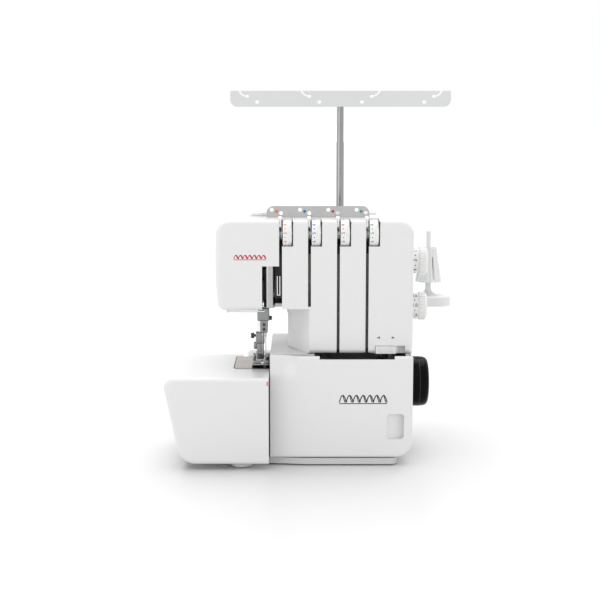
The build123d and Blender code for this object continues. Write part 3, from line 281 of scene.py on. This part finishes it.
def studio():
    """Pale floor that runs far back, a white surround, a low side light and one overhead."""
    clear_selection()
    just_under_feet = -0.0004
    bpy.ops.mesh.primitive_plane_add(size=120.0, location=(0, 40.0, just_under_feet))
    floor = bpy.context.object
    floor.name = "studio_floor"
    bpy.ops.object.transform_apply(location=True, rotation=True, scale=True)
    finish = Finish("studio_floor_white")
    finish.drive("Base Color", finish.mix(finish.noise(1.5), (0.73, 0.73, 0.73),
                                          (0.74, 0.74, 0.74)))
    finish.drive("Roughness", finish.noise(4.0) * 0.06 + 0.34)
    floor.data.materials.append(finish.material)
    world = bpy.data.worlds.new("studio_surround")
    world.use_nodes = True
    back = world.node_tree.nodes["Background"]
    back.inputs["Color"].default_value = (1.0, 1.0, 1.0, 1.0)
    back.inputs["Strength"].default_value = SURROUND
    bpy.context.scene.world = world
    softbox("key_light", (-1.7, -1.5, 0.45), 1.0, KEY_WATTS)
    bpy.ops.object.light_add(type="SUN", location=(0, 0.6, 2.6), rotation=(-OVERHEAD_TILT, 0, 0))
    overhead = bpy.context.object
    overhead.name = "overhead_light"
    overhead.data.energy = OVERHEAD_STRENGTH
    overhead.data.angle = math.radians(60)
    bpy.context.scene.view_settings.view_transform = "Standard"


# ---------------------------------------------------------------- making pieces
def settle(piece, name, material, body, angle=35.0):
    """Names a finished piece, puts its place into its mesh and fixes it to its body."""
    clear_selection()
    piece.select_set(True)
    bpy.context.view_layer.objects.active = piece
    bpy.ops.object.transform_apply(location=True, rotation=True, scale=True)
    bpy.ops.object.shade_smooth_by_angle(angle=math.radians(angle))
    piece.name = name
    if material:
        piece.data.materials.clear()
        piece.data.materials.append(material)
    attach(piece, body)
    return piece


def join(pieces):
    clear_selection()
    for piece in pieces:
        piece.select_set(True)
    bpy.context.view_layer.objects.active = pieces[0]
    bpy.ops.object.join()
    return bpy.context.object


def copy_of(piece, place=Matrix.Identity(4)):
    """A copy with its own mesh, moved by a matrix."""
    made = piece.copy()
    made.data = piece.data.copy()
    made.data.transform(place)
    bpy.context.scene.collection.objects.link(made)
    return made


def pick_faces(test):
    """In edit mode: selects just the faces whose centre and normal pass the test."""
    mesh = bmesh.from_edit_mesh(bpy.context.object.data)
    bpy.ops.mesh.select_mode(type="FACE")
    for face in mesh.faces:
        face.select_set(test(face.calc_center_median(), face.normal))
    mesh.select_flush_mode()
    bmesh.update_edit_mesh(bpy.context.object.data)


def pick_edges(test):
    """In edit mode: selects just the edges whose two ends pass the test."""
    mesh = bmesh.from_edit_mesh(bpy.context.object.data)
    bpy.ops.mesh.select_mode(type="EDGE")
    for edge in mesh.edges:
        edge.select_set(False)
    for edge in mesh.edges:
        if test(edge.verts[0].co, edge.verts[1].co):
            edge.select_set(True)
    bmesh.update_edit_mesh(bpy.context.object.data)


def rounded_block(low, high, radius, segments=3):
    """A block between two corners (millimetres) with every edge rounded."""
    clear_selection()
    centre = [(a + b) / 2 * MM for a, b in zip(low, high)]
    bpy.ops.mesh.primitive_cube_add(size=1.0, location=centre)
    piece = bpy.context.object
    piece.scale = [(b - a) * MM for a, b in zip(low, high)]
    bpy.ops.object.transform_apply(location=True, rotation=True, scale=True)
    bpy.ops.object.mode_set(mode="EDIT")
    bpy.ops.mesh.select_all(action="SELECT")
    bpy.ops.mesh.bevel(offset=radius * MM, segments=segments, profile=0.5)
    bpy.ops.object.mode_set(mode="OBJECT")
    return piece


AXES = {"X": (0, math.pi / 2, 0), "Y": (math.pi / 2, 0, 0), "Z": (0, 0, 0)}


def turned_disc(centre, axis, radius, thick, rim, sides=40):
    """A disc (millimetres) standing on one axis, with both rims rounded."""
    clear_selection()
    bpy.ops.mesh.primitive_cylinder_add(vertices=sides, radius=radius * MM, depth=thick * MM,
                                        location=[c * MM for c in centre], rotation=AXES[axis])
    piece = bpy.context.object
    bpy.ops.object.mode_set(mode="EDIT")
    bpy.ops.mesh.select_all(action="DESELECT")
    half = thick * MM / 2
    pick_edges(lambda a, b: abs(a.z - b.z) < half * 0.1)
    bpy.ops.mesh.bevel(offset=rim * MM, segments=3, profile=0.5)
    bpy.ops.object.mode_set(mode="OBJECT")
    bpy.ops.object.transform_apply(location=True, rotation=True, scale=True)
    return piece


def round_wire(name, points, thickness):
    """A bent wire (millimetres) along smooth points, made a mesh."""
    curve = bpy.data.curves.new(name, "CURVE")
    curve.dimensions = "3D"
    curve.bevel_depth = thickness / 2 * MM
    curve.bevel_resolution = 4
    curve.resolution_u = 6
    curve.use_fill_caps = True
    spline = curve.splines.new("NURBS")
    spline.points.add(len(points) - 1)
    for point, place in zip(spline.points, points):
        point.co = (*[c * MM for c in place], 1.0)
    spline.order_u = 3
    spline.use_endpoint_u = True
    piece = bpy.data.objects.new(name, curve)
    bpy.context.scene.collection.objects.link(piece)
    clear_selection()
    piece.select_set(True)
    bpy.context.view_layer.objects.active = piece
    bpy.ops.object.convert(target="MESH")
    return bpy.context.object


def figure(text, height, thick=0.12):
    """Flat figures standing in the XY plane, centred, made a mesh (millimetres)."""
    clear_selection()
    bpy.ops.object.text_add()
    piece = bpy.context.object
    piece.data.body = text
    piece.data.align_x = "CENTER"
    piece.data.align_y = "CENTER"
    piece.data.size = height * 1.35 * MM
    piece.data.extrude = thick * MM
    piece.data.resolution_u = 3
    bpy.ops.object.convert(target="MESH")
    return bpy.context.object


studio_camera()
studio()


# ---------------------------------------------------------------- printed figures on the dials
def middle(node):
    low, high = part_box(node)
    return (low + high) / 2


def figures_round_x(name, body, centre, radius, x, marks, height, start, step, material, turn):
    """Figures round a dial that turns about X: the first at the angle start, then every step.

    Angles are in degrees from the dial's top towards its front; turn rotates each figure in place.
    """
    pieces = []
    for number, mark in enumerate(marks):
        if not mark:
            continue
        angle = math.radians(start + step * number)
        if mark == ".":
            piece = turned_disc((0, 0, 0), "Z", height * 0.16, 0.24, 0.05, 16)
        else:
            piece = figure(mark, height)
        outward = Vector((0, -math.sin(angle), math.cos(angle)))
        upward = Vector((0, math.cos(angle), math.sin(angle)))
        frame_matrix = Matrix((Vector((1, 0, 0)), upward, outward)).transposed().to_4x4()
        spin = Matrix.Rotation(math.radians(turn), 4, "Z")
        place = Matrix.Translation(Vector((x * MM, centre.y, centre.z)) + outward * radius * MM)
        piece.data.transform(place @ frame_matrix @ spin)
        pieces.append(piece)
    return settle(join(pieces), name, material, body, 30)


TENSION_RADIUS, TENSION_STEP = 17.5, 17.5      # millimetres, degrees between figures
FIGURE_BAND_X = 123.3                           # middle of the side dials' printed band
for index in range(4):
    dial = f"tension_dial_{index + 1}"
    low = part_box(dial)[0]
    figures_round_x(f"tension_figures_{index + 1}", dial, middle(dial), TENSION_RADIUS,
                    low.x / MM + 3.1, ("3", ".", "4", ".", "5", ".", "6", ".", "7"),
                    4.3, 12, TENSION_STEP, thread_inks[index], 90)
    figures_round_x(f"tension_index_{index + 1}", dial, middle(dial), TENSION_RADIUS,
                    low.x / MM + 9.2, (".", "", ".", "", ".", "", "."), 1.9, 20, TENSION_STEP,
                    grey_ink, 0)

figures_round_x("stitch_length_figures", "stitch_length_dial", middle("stitch_length_dial"), 15.5,
                FIGURE_BAND_X, ("1", ".", "2", ".", "3", ".", "4", ".", "5"), 5.0, -14, 24,
                black_ink, 90)
figures_round_x("differential_figures", "differential_feed_dial",
                middle("differential_feed_dial"), 16.0, FIGURE_BAND_X,
                (".", "0.5", ".", "1.0", ".", "1.5", ".", "2.0"), 4.4, 8, 24, black_ink, 0)


# ---------------------------------------------------------------- printed marks on the covers
def flat_mark(corners, y, name, thick=0.1):
    """A printed shape on a face that looks to the front, from (x, z) corners in millimetres."""
    clear_selection()
    mesh = bpy.data.meshes.new(name)
    mesh.from_pydata([(x * MM, (y + 0.02) * MM, z * MM) for x, z in corners], [],
                     [list(range(len(corners)))])
    piece = bpy.data.objects.new(name, mesh)
    bpy.context.scene.collection.objects.link(piece)
    piece.select_set(True)
    bpy.context.view_layer.objects.active = piece
    bpy.ops.object.mode_set(mode="EDIT")
    bpy.ops.mesh.select_all(action="SELECT")
    bpy.ops.mesh.normals_make_consistent(inside=False)
    bpy.ops.mesh.extrude_region_move(TRANSFORM_OT_translate={"value": (0, -thick * MM, 0)})
    bpy.ops.mesh.select_all(action="SELECT")
    bpy.ops.mesh.normals_make_consistent(inside=False)
    bpy.ops.object.mode_set(mode="OBJECT")
    return piece


head_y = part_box("front_housing")[0].y / MM
cover_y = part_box("looper_cover")[0].y / MM


def stroke(points, width):
    """Corners of a line of even width through (x, z) points."""
    left, right = [], []
    for i, (x, z) in enumerate(points):
        before, after = points[max(i - 1, 0)], points[min(i + 1, len(points) - 1)]
        along = Vector((after[0] - before[0], after[1] - before[1])).normalized()
        left.append((x - along.y * width / 2, z + along.x * width / 2))
        right.append((x + along.y * width / 2, z - along.x * width / 2))
    return left + right[::-1]


def stitch_band(name, x0, x1, z, rise, count, width, y, material, body):
    """A made-up mark: a row of overlock stitches standing on a fine line."""
    pieces = []
    pitch = (x1 - x0) / count
    for i in range(count):
        x = x0 + pitch * i
        loop = [(x + pitch * t, z + rise * math.sin(math.pi * t) ** 0.8) for t in
                [k / 10 for k in range(11)]]
        pieces.append(flat_mark(stroke(loop, width), y, name))
        leg = [(x + pitch * 0.5, z + rise), (x + pitch * 0.82, z)]
        pieces.append(flat_mark(stroke(leg, width * 0.8), y, name))
    base_line = [(x0, z - width), (x1, z - width)]
    pieces.append(flat_mark(stroke(base_line, width * 0.8), y, name))
    return settle(join(pieces), name, material, body, 30)


stitch_band("cover_stitch_mark", 28.0, 86.0, 79.0, 9.0, 7, 1.3, cover_y, black_ink, "looper_cover")
stitch_band("head_stitch_mark", -100.0, -61.0, 253.0, 4.6, 7, 1.0, head_y, red_ink, "machine")

# arrows over the hem slide
arrow_z = 156.5
arrows = [flat_mark([(tip, arrow_z), (base, arrow_z + rise), (base, arrow_z - rise)], head_y,
                    "arrow")
          for tip, base, rise in ((73.5, 77.5, 1.7), (96.0, 92.0, -1.7))]
settle(join(arrows), "hem_slide_arrows", grey_ink, "machine")

# coloured dots on the top thread guide
guide_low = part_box("top_thread_guide")[0]
slot_x = [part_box(f"tension_dial_{number}")[0].x / MM - 2.6 for number in range(1, 5)]
for index, x in enumerate(slot_x):
    dot = turned_disc((x - 5.8, guide_low.y / MM - 0.06, 307.4), "Y", 1.9, 0.24, 0.08, 28)
    settle(dot, f"thread_colour_dot_{index + 1}", thread_inks[index], "machine")

# short coloured mark on the side cover's edge
seam = flat_mark([(-60.2, 104.0), (-58.0, 104.0), (-58.0, 109.0), (-60.2, 109.0)],
                 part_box("side_cover")[0].y / MM, "seam_mark")
settle(seam, "seam_mark", pink, "side_cover")


# ---------------------------------------------------------------- thread cones' holders
def cut_with(piece, cutter):
    """Takes the cutter's space out of the piece, then deletes the cutter."""
    clear_selection()
    piece.select_set(True)
    bpy.context.view_layer.objects.active = piece
    cut = piece.modifiers.new("cut", "BOOLEAN")
    cut.operation = "DIFFERENCE"
    cut.solver = "EXACT"
    cut.object = cutter
    bpy.ops.object.modifier_apply(modifier=cut.name)
    bpy.data.objects.remove(cutter)


def cone_holder():
    """A tall hollow cone with fluted sides and a flat top with a hole."""
    low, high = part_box("cone_holder_1")
    centre = (low + high) / 2
    sides = 64
    clear_selection()
    bpy.ops.mesh.primitive_cone_add(vertices=sides, radius1=(high.x - low.x) / 2 - 0.2 * MM,
                                    radius2=11.0 * MM - 0.2 * MM, depth=high.z - low.z,
                                    location=centre, end_fill_type="NGON")
    piece = bpy.context.object
    bpy.ops.object.transform_apply(location=True, rotation=True, scale=True)
    piece.data.transform(Matrix.Translation((-centre.x, -centre.y, 0)))
    bpy.ops.object.mode_set(mode="EDIT")
    # top with a stepped hole round the pin
    pick_faces(lambda place, normal: normal.z > 0.9)
    bpy.ops.mesh.inset(thickness=0.8 * MM)
    bpy.ops.mesh.extrude_region_move(TRANSFORM_OT_translate={"value": (0, 0, -0.9 * MM)})
    bpy.ops.mesh.inset(thickness=6.2 * MM)
    bpy.ops.mesh.extrude_region_move(TRANSFORM_OT_translate={"value": (0, 0, -6.0 * MM)})

    def is_flute(place, normal):
        """Every fourth side panel, which is pressed in a little."""
        turn = math.degrees(math.atan2(place.y, place.x)) % 360
        on_side = abs(normal.z) < 0.6 and place.xy.length > 9 * MM
        return on_side and round(turn * sides / 360 - 0.5) % 4 == 0

    pick_faces(is_flute)
    bpy.ops.mesh.inset(thickness=0.35 * MM, use_individual=True)
    bpy.ops.transform.shrink_fatten(value=-0.7 * MM)
    # hollow underside
    pick_faces(lambda place, normal: normal.z < -0.9)
    bpy.ops.mesh.inset(thickness=2.0 * MM)
    bpy.ops.mesh.extrude_region_move(TRANSFORM_OT_translate={"value": (0, 0, 30 * MM)})
    bpy.ops.transform.resize(value=(0.76, 0.76, 1.0))
    bpy.ops.object.mode_set(mode="OBJECT")
    return piece


def slits_in(piece):
    """Four slits cut up from the cone's lower edge."""
    low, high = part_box("cone_holder_1")
    solid_top = 11 * MM
    for number in range(4):
        clear_selection()
        bpy.ops.mesh.primitive_cube_add(size=1.0)
        cutter = bpy.context.object
        cutter.scale = (14 * MM, 2.0 * MM, (high.z - low.z) - solid_top)
        cutter.location = (15 * MM, 0, low.z + cutter.scale.z / 2 - 1 * MM)
        bpy.ops.object.transform_apply(location=True, rotation=True, scale=True)
        cutter.data.transform(Matrix.Rotation(math.radians(90 * number - 70), 4, "Z"))
        cut_with(piece, cutter)
    return piece


first_cone = slits_in(cone_holder())
for number in range(1, 5):
    centre = middle(f"cone_holder_{number}")
    cone = copy_of(first_cone, Matrix.Translation((centre.x, centre.y, 0)))
    settle(cone, f"fluted_cone_{number}", pale, f"cone_holder_{number}", 30)
    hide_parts(f"cone_holder_{number}")
bpy.data.objects.remove(first_cone)


# ---------------------------------------------------------------- handwheel
def spun_about_x(name, profile, centre, steps=72):
    """A closed ring profile of (x, radius) points in millimetres, spun about the X axis."""
    clear_selection()
    mesh = bpy.data.meshes.new(name)
    count = len(profile)
    mesh.from_pydata([(x * MM, 0, r * MM) for x, r in profile],
                     [(i, (i + 1) % count) for i in range(count)], [])
    piece = bpy.data.objects.new(name, mesh)
    bpy.context.scene.collection.objects.link(piece)
    piece.select_set(True)
    bpy.context.view_layer.objects.active = piece
    bpy.ops.object.mode_set(mode="EDIT")
    bpy.ops.mesh.select_all(action="SELECT")
    bpy.ops.mesh.spin(steps=steps, angle=math.tau, center=(0, 0, 0), axis=(1, 0, 0))
    bpy.ops.mesh.select_all(action="SELECT")
    bpy.ops.mesh.remove_doubles(threshold=0.00001)
    bpy.ops.mesh.normals_make_consistent(inside=False)
    bpy.ops.object.mode_set(mode="OBJECT")
    piece.location = (0, centre.y, centre.z)
    return piece


def handwheel():
    """Glossy wheel: rounded outer rim, a shallow dished face and a fine band round the rim."""
    low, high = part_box("handwheel")
    centre = (low + high) / 2
    r = (high.z - low.z) / 2 / MM
    x0, x1 = 119.5, high.x / MM
    profile = [(x0, 12), (x0, r - 2.6), (x0 + 0.7, r - 1.2), (x0 + 2.2, r - 0.3), (x0 + 5.0, r),
               (x0 + 11, r), (x1 - 6.5, r - 0.5), (x1 - 3.2, r - 1.7), (x1 - 1.2, r - 3.9),
               (x1 - 0.2, r - 7.2), (x1, r - 10), (x1 - 0.3, r - 12.5), (x1 - 2.2, r - 14.5),
               (x1 - 2.8, r - 17), (x1 - 2.8, 8), (x1 - 2.2, 6.8), (x1 - 2.1, 0.05),
               (x1 - 6, 0.05), (x1 - 6, 10), (x1 - 9, 12)]
    rim = spun_about_x("handwheel_rim", profile, centre, 96)
    hub = turned_disc((x0 - 4.5, centre.y / MM, centre.z / MM), "X", 9.9, 14, 0.8)
    wheel = settle(join([rim, hub]), "glossy_handwheel", black_gloss, "handwheel",
                   40)
    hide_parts("handwheel")
    band = spun_about_x("handwheel_band", [(x0 + 12.2, r - 0.2), (x0 + 12.2, r + 0.02),
                                           (x0 + 12.8, r + 0.02), (x0 + 12.8, r - 0.2)],
                        centre, 96)
    settle(band, "handwheel_band", dark, "handwheel", 40)


handwheel()


# ---------------------------------------------------------------- helpers for small metal pieces
def mm(corner):
    return [c / MM for c in corner]


def face_block(low, high, taper=1.0, radius=0.6, segments=3):
    """A rounded block whose lower end is narrowed by taper (millimetres)."""
    piece = rounded_block(low, high, radius, segments)
    middle_x, middle_y = (low[0] + high[0]) / 2 * MM, (low[1] + high[1]) / 2 * MM
    top, bottom = high[2] * MM, low[2] * MM
    for vertex in piece.data.vertices:
        share = 1 - (1 - taper) * (top - vertex.co.z) / (top - bottom)
        vertex.co.x = middle_x + (vertex.co.x - middle_x) * share
        vertex.co.y = middle_y + (vertex.co.y - middle_y) * share
    return piece


def slotted_screw(centre, axis, radius, thick, slot_turn=0.0, sign=-1):
    """Screw head with a rounded rim and a cut across its face, which looks along sign * axis."""
    clear_selection()
    bpy.ops.mesh.primitive_cylinder_add(vertices=32, radius=radius * MM, depth=thick * MM)
    piece = bpy.context.object
    bpy.ops.object.mode_set(mode="EDIT")
    pick_faces(lambda place, normal: normal.z > 0.9)
    bpy.ops.mesh.inset(thickness=radius * 0.16 * MM)
    bpy.ops.transform.translate(value=(0, 0, radius * 0.12 * MM))
    bpy.ops.object.mode_set(mode="OBJECT")
    bpy.ops.mesh.primitive_cube_add(size=1.0)
    cutter = bpy.context.object
    cutter.scale = (radius * 3 * MM, radius * 0.26 * MM, thick * 0.5 * MM)
    cutter.location = (0, 0, (thick / 2 + radius * 0.1) * MM)
    cutter.rotation_euler = (0, 0, slot_turn)
    bpy.ops.object.transform_apply(location=True, rotation=True, scale=True)
    cut_with(piece, cutter)
    turn = {"X": Matrix.Rotation(math.pi / 2 * sign, 4, "Y"),
            "Y": Matrix.Rotation(-math.pi / 2 * sign, 4, "X"),
            "Z": Matrix.Identity(4)}[axis]
    piece.data.transform(Matrix.Translation([c * MM for c in centre]) @ turn)
    return piece


# ---------------------------------------------------------------- needle clamp
def needle_clamp():
    """Forged clamp on the needle bar, with its set screws and side screw."""
    low, high = (mm(c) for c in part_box("needle_clamp"))
    x0, y0, z0 = low
    x1, y1, z1 = high
    split = z0 + (z1 - z0) * 0.47
    side_screw_z = z0 + 18
    bar_x, bar_y = (c / MM for c in middle("needle_bar").xy)
    upper = rounded_block((x0, y0, split), (bar_x + 6.5, y1, z1), 1.6, 4)
    lower = face_block((bar_x - 5.2, y0 + 0.8, z0), (bar_x + 4.8, y1, split + 1), 0.94, 1.1, 4)
    collar = turned_disc((bar_x, bar_y, z1 - 0.4), "Z", 5.2, 0.8, 0.3)
    body = settle(join([upper, lower, collar]), "needle_clamp_forging", casting, "needle_bar",
                  35)
    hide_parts("needle_clamp", "needle_screws")
    screws = [slotted_screw((bar_x, y0 - 0.1, z), "Y", 1.9, 2.2, turn)
              for z, turn in ((z0 + 4.5, 0.5), (z0 + 10.5, -0.3))]
    settle(join(screws), "needle_set_screws", black_steel, "needle_bar", 30)
    side = slotted_screw((x1 - 1.6, bar_y, side_screw_z), "X", 2.6, 3.2, 0.4, sign=1)
    neck = turned_disc((x1 - 3.0, bar_y, side_screw_z), "X", 1.6, 2.0, 0.2, 20)
    settle(join([side, neck]), "needle_clamp_side_screw", black_steel, "needle_bar", 30)


# ---------------------------------------------------------------- presser foot and ankle
def presser_ankle():
    """Clamp block on the presser bar, its blade down to the foot, and the thumb screw."""
    low, high = (mm(c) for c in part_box("foot_ankle"))
    bar_x, bar_y = (c / MM for c in middle("presser_bar").xy)
    thumb_z = middle("ankle_screw").z / MM
    bottom, top = low[2], high[2]
    clamp = rounded_block((bar_x - 5.5, low[1], top - 15), (bar_x + 5.5, high[1], top), 1.3, 4)
    blade = rounded_block((bar_x - 4.2, low[1] + 0.6, bottom),
                          (bar_x + 4.6, high[1] - 2, top - 13), 0.9, 3)
    bridge = rounded_block((bar_x - 5.2, low[1] + 0.3, bottom + 6),
                           (bar_x + 5.2, high[1] - 1, bottom + 9.5), 0.8, 3)
    lever = rounded_block((low[0], bar_y - 3, top - 22), (bar_x - 4.0, bar_y + 1, top - 13), 0.8, 3)
    body = settle(join([clamp, blade, bridge, lever]), "presser_ankle", casting,
                  "presser_bar", 35)
    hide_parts("foot_ankle")
    side = slotted_screw((bar_x - 9.5, bar_y, thumb_z), "X", 3.4, 3.6, 0.9, sign=-1)
    neck = turned_disc((bar_x - 7.0, bar_y, thumb_z), "X", 1.6, 3.0, 0.2, 20)
    knob = settle(join([side, neck]), "ankle_thumb_screw", black_steel, "presser_bar", 30)
    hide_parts("ankle_screw")


def sole_sheet(left, right, front, back, base, needle_x, needle_y):
    """Flat sheet of the sole, turned up at both ends, with its needle hole and front slit."""
    profile = [(front, base + 4.0), (front + 2.5, base + 2.2), (front + 5, base + 0.7),
               (front + 8, base), (-23, base), (back, base + 3.2)]
    across = [left, left + 2.6, needle_x - 4.2, needle_x + 0.6, needle_x + 1.8, needle_x + 4.6,
              right]
    slit_column, hole_reach = 3, 7

    def height(y):
        for (ya, za), (yb, zb) in zip(profile, profile[1:]):
            if ya <= y <= yb:
                return za + (zb - za) * (y - ya) / (yb - ya)
        return base

    ys = sorted({y for y, z in profile} | {needle_y - hole_reach, needle_y + hole_reach})
    verts, faces = [], []
    for y in ys:
        for i, x in enumerate(across):
            rounded_corner = 1.6 if y == ys[0] and i in (0, len(across) - 1) else 0.0
            verts.append((x * MM, (y + rounded_corner) * MM, (height(y) + 0.05) * MM))
    for j in range(len(ys) - 1):
        middle_y = (ys[j] + ys[j + 1]) / 2
        for i in range(len(across) - 1):
            in_hole = abs(middle_y - needle_y) < hole_reach and 2 <= i <= 4
            in_slit = middle_y < needle_y - hole_reach and i == slit_column
            if not in_hole and not in_slit:
                corner, behind = j * len(across) + i, (j + 1) * len(across) + i
                faces.append((corner, corner + 1, behind + 1, behind))
    clear_selection()
    mesh = bpy.data.meshes.new("sole")
    mesh.from_pydata(verts, [], faces)
    sole = bpy.data.objects.new("sole", mesh)
    bpy.context.scene.collection.objects.link(sole)
    sole.select_set(True)
    bpy.context.view_layer.objects.active = sole
    return sole


def presser_sole():
    """Stamped steel sole with an upturned toe, needle hole, ears and a bright centre bar."""
    low, high = (mm(c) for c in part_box("presser_foot"))
    (left, front, base), (right, back) = low, high[:2]
    needle_x, needle_y = (c / MM for c in middle("needle_bar").xy)
    sole = sole_sheet(left, right, front, back, base, needle_x, needle_y)
    wall = sole.modifiers.new("wall", "SOLIDIFY")
    wall.thickness = 1.5 * MM
    wall.offset = 1.0
    bpy.ops.object.modifier_apply(modifier=wall.name)
    edge = sole.modifiers.new("edge", "BEVEL")
    edge.width = 0.35 * MM
    edge.segments = 2
    bpy.ops.object.modifier_apply(modifier=edge.name)
    ears = [rounded_block((x0, -29, base + 1), (x1, -18, base + 11.3), 1.2, 3)
            for x0, x1 in ((left, left + 3.7), (right - 6.0, right))]
    bridge = rounded_block((left + 0.4, needle_y - 14, base + 1.2),
                           (right - 0.4, needle_y - 9.5, base + 6.8), 1.4, 4)
    foot = settle(join([sole, *ears, bridge]), "presser_foot_sole", foot_steel, "presser_foot",
                  35)
    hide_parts("presser_foot")
    tongue = rounded_block((needle_x - 3.2, front + 1.2, base + 4.6),
                           (needle_x + 0.2, needle_y - 8, base + 7.4), 0.7, 3)
    pin = turned_disc(((left + right) / 2, -23, base + 7.5), "X", 1.5, right - left - 1.0, 0.3, 24)
    settle(join([tongue, pin]), "presser_foot_bright_work", chrome, "presser_foot", 35)


needle_clamp()
presser_ankle()
presser_sole()


# ---------------------------------------------------------------- tension dials
def knurled_dial(index):
    """White dial: smooth figured band, fine ribs on the right half, recessed hub."""
    name = f"tension_dial_{index + 1}"
    low, high = (mm(c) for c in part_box(name))
    centre = middle(name)
    r = (high[2] - low[2]) / 2
    x0, x1 = low[0], high[0]
    profile = [(x0, 3.0), (x0, r - 1.2), (x0 + 0.35, r - 0.5), (x0 + 1.0, r - 0.05),
               (x0 + 6.6, r - 0.05), (x0 + 6.9, r - 0.4), (x0 + 7.3, r - 0.1), (x1 - 1.2, r - 0.1),
               (x1 - 0.4, r - 0.6), (x1, r - 1.4), (x1, r - 5.5), (x1 - 1.5, r - 6.5),
               (x1 - 1.5, 3.0)]
    dial = spun_about_x("dial", profile, centre, 80)
    bpy.ops.object.transform_apply(location=True, rotation=True, scale=True)
    for vertex in dial.data.vertices:
        outward = Vector((0, vertex.co.y - centre.y, vertex.co.z - centre.z))
        if vertex.co.x > (x0 + 7.2) * MM and outward.length > (r - 0.9) * MM:
            step = round(math.atan2(outward.z, outward.y) / math.tau * 80)
            if step % 2:
                vertex.co -= outward.normalized() * 0.45 * MM
    settle(dial, f"knurled_{name}", milk, name, 25)
    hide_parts(name)


for index in range(4):
    knurled_dial(index)


# ---------------------------------------------------------------- slots and windows
SHELL_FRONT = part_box("front_housing")[0].y / MM
SLOT_BOTTOMS = (None, 196.0, 144.0, 144.0)      # the first slot opens into the needle window


def slot_linings():
    """Each slot's back as thin fitted strips: a dark strip behind the dial that paints the shade
    there, grey-brown below.
    """
    plate_face = SHELL_FRONT + 21.8
    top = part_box("front_housing")[1].z / MM
    split = top - 44.0
    for index, x in enumerate(slot_x):
        number = index + 1
        # painted shade: a dark strip in the upper slot, where the dial shades it
        shade = rounded_block((x - 3.4, plate_face - 2.0, split), (x + 2.4, plate_face, top - 9),
                              0.3, 2)
        settle(shade, f"slot_painted_shade_{number}", dark, "machine", 30)
        if SLOT_BOTTOMS[index]:
            back = rounded_block((x - 3.4, plate_face - 1.6, SLOT_BOTTOMS[index] - 4),
                                 (x + 3.0, plate_face, split - 0.4), 0.3, 2)
            settle(back, f"slot_back_{number}", slot_brown, "machine", 30)


def window_frames():
    """Painted shade: a thin dark line along the right and the lower side of each dial's window."""
    bottom, top, line, depth = 268.5, 298.0, 0.45, 1.2
    for index, x in enumerate(slot_x):
        left, right = x + 1.8, x + 14.8
        back = SHELL_FRONT + depth
        # painted shade along the window's right and lower edges, in grey ink
        lines = [rounded_block((right - 0.1, SHELL_FRONT - 0.05, bottom - 0.2),
                               (right + line, back, top), 0.1, 1),
                 rounded_block((left + 0.4, SHELL_FRONT - 0.05, bottom - 0.55),
                               (right + line, back, bottom), 0.1, 1)]
        settle(join(lines), f"dial_window_shade_line_{index + 1}", grey_ink, "machine",
               30)


slot_linings()
window_frames()


# ---------------------------------------------------------------- thread hooks over the slots
def slot_hooks():
    """White loops of moulded plastic over each slot."""
    route = ((-2.0, 16, 300.2), (-2.0, 12, 303.2), (-1.8, 6, 303.6), (-1.4, 3.5, 301.5),
             (-0.6, 3.2, 298.0), (-0.4, 3.6, 293.5))
    hooks = [round_wire("hook", [(x + across, SHELL_FRONT + back, z) for across, back, z in route],
                        1.7) for x in slot_x]
    settle(join(hooks), "slot_hook_loops", milk, "machine", 40)


slot_hooks()


# ---------------------------------------------------------------- needle guard sleeve
def guard_sleeve():
    """Plated sleeve in the needle window, with rolled lips and its bracket."""
    low, high = (mm(c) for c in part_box("needle_bar_guard"))
    x, y, r = low[0] + 2.6, SHELL_FRONT + 10.6, 7.0
    z0, z1 = low[2], high[2]
    profile = [(z0 + 0.5, r), (z0, r - 0.4), (z0, r - 1.2), (z0 + 0.6, r - 1.4),
               (z1 - 0.6, r - 1.4), (z1, r - 1.2), (z1, r - 0.4), (z1 - 0.5, r)]
    sleeve = spun_about_x("sleeve", profile, Vector((0, 0, 0)), 64)
    upright = Matrix.Rotation(-math.pi / 2, 4, "Y")
    sleeve.data.transform(Matrix.Translation((x * MM, y * MM, 0)) @ upright)
    bracket = rounded_block((x - 2.5, y + r - 1.0, z1 - 8.5), (x + 2.5, high[1], z1 - 2.5), 0.5, 2)
    piece = settle(join([sleeve, bracket]), "needle_guard_sleeve", sleeve_chrome, "machine",
                   35)
    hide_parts("needle_bar_guard")


guard_sleeve()
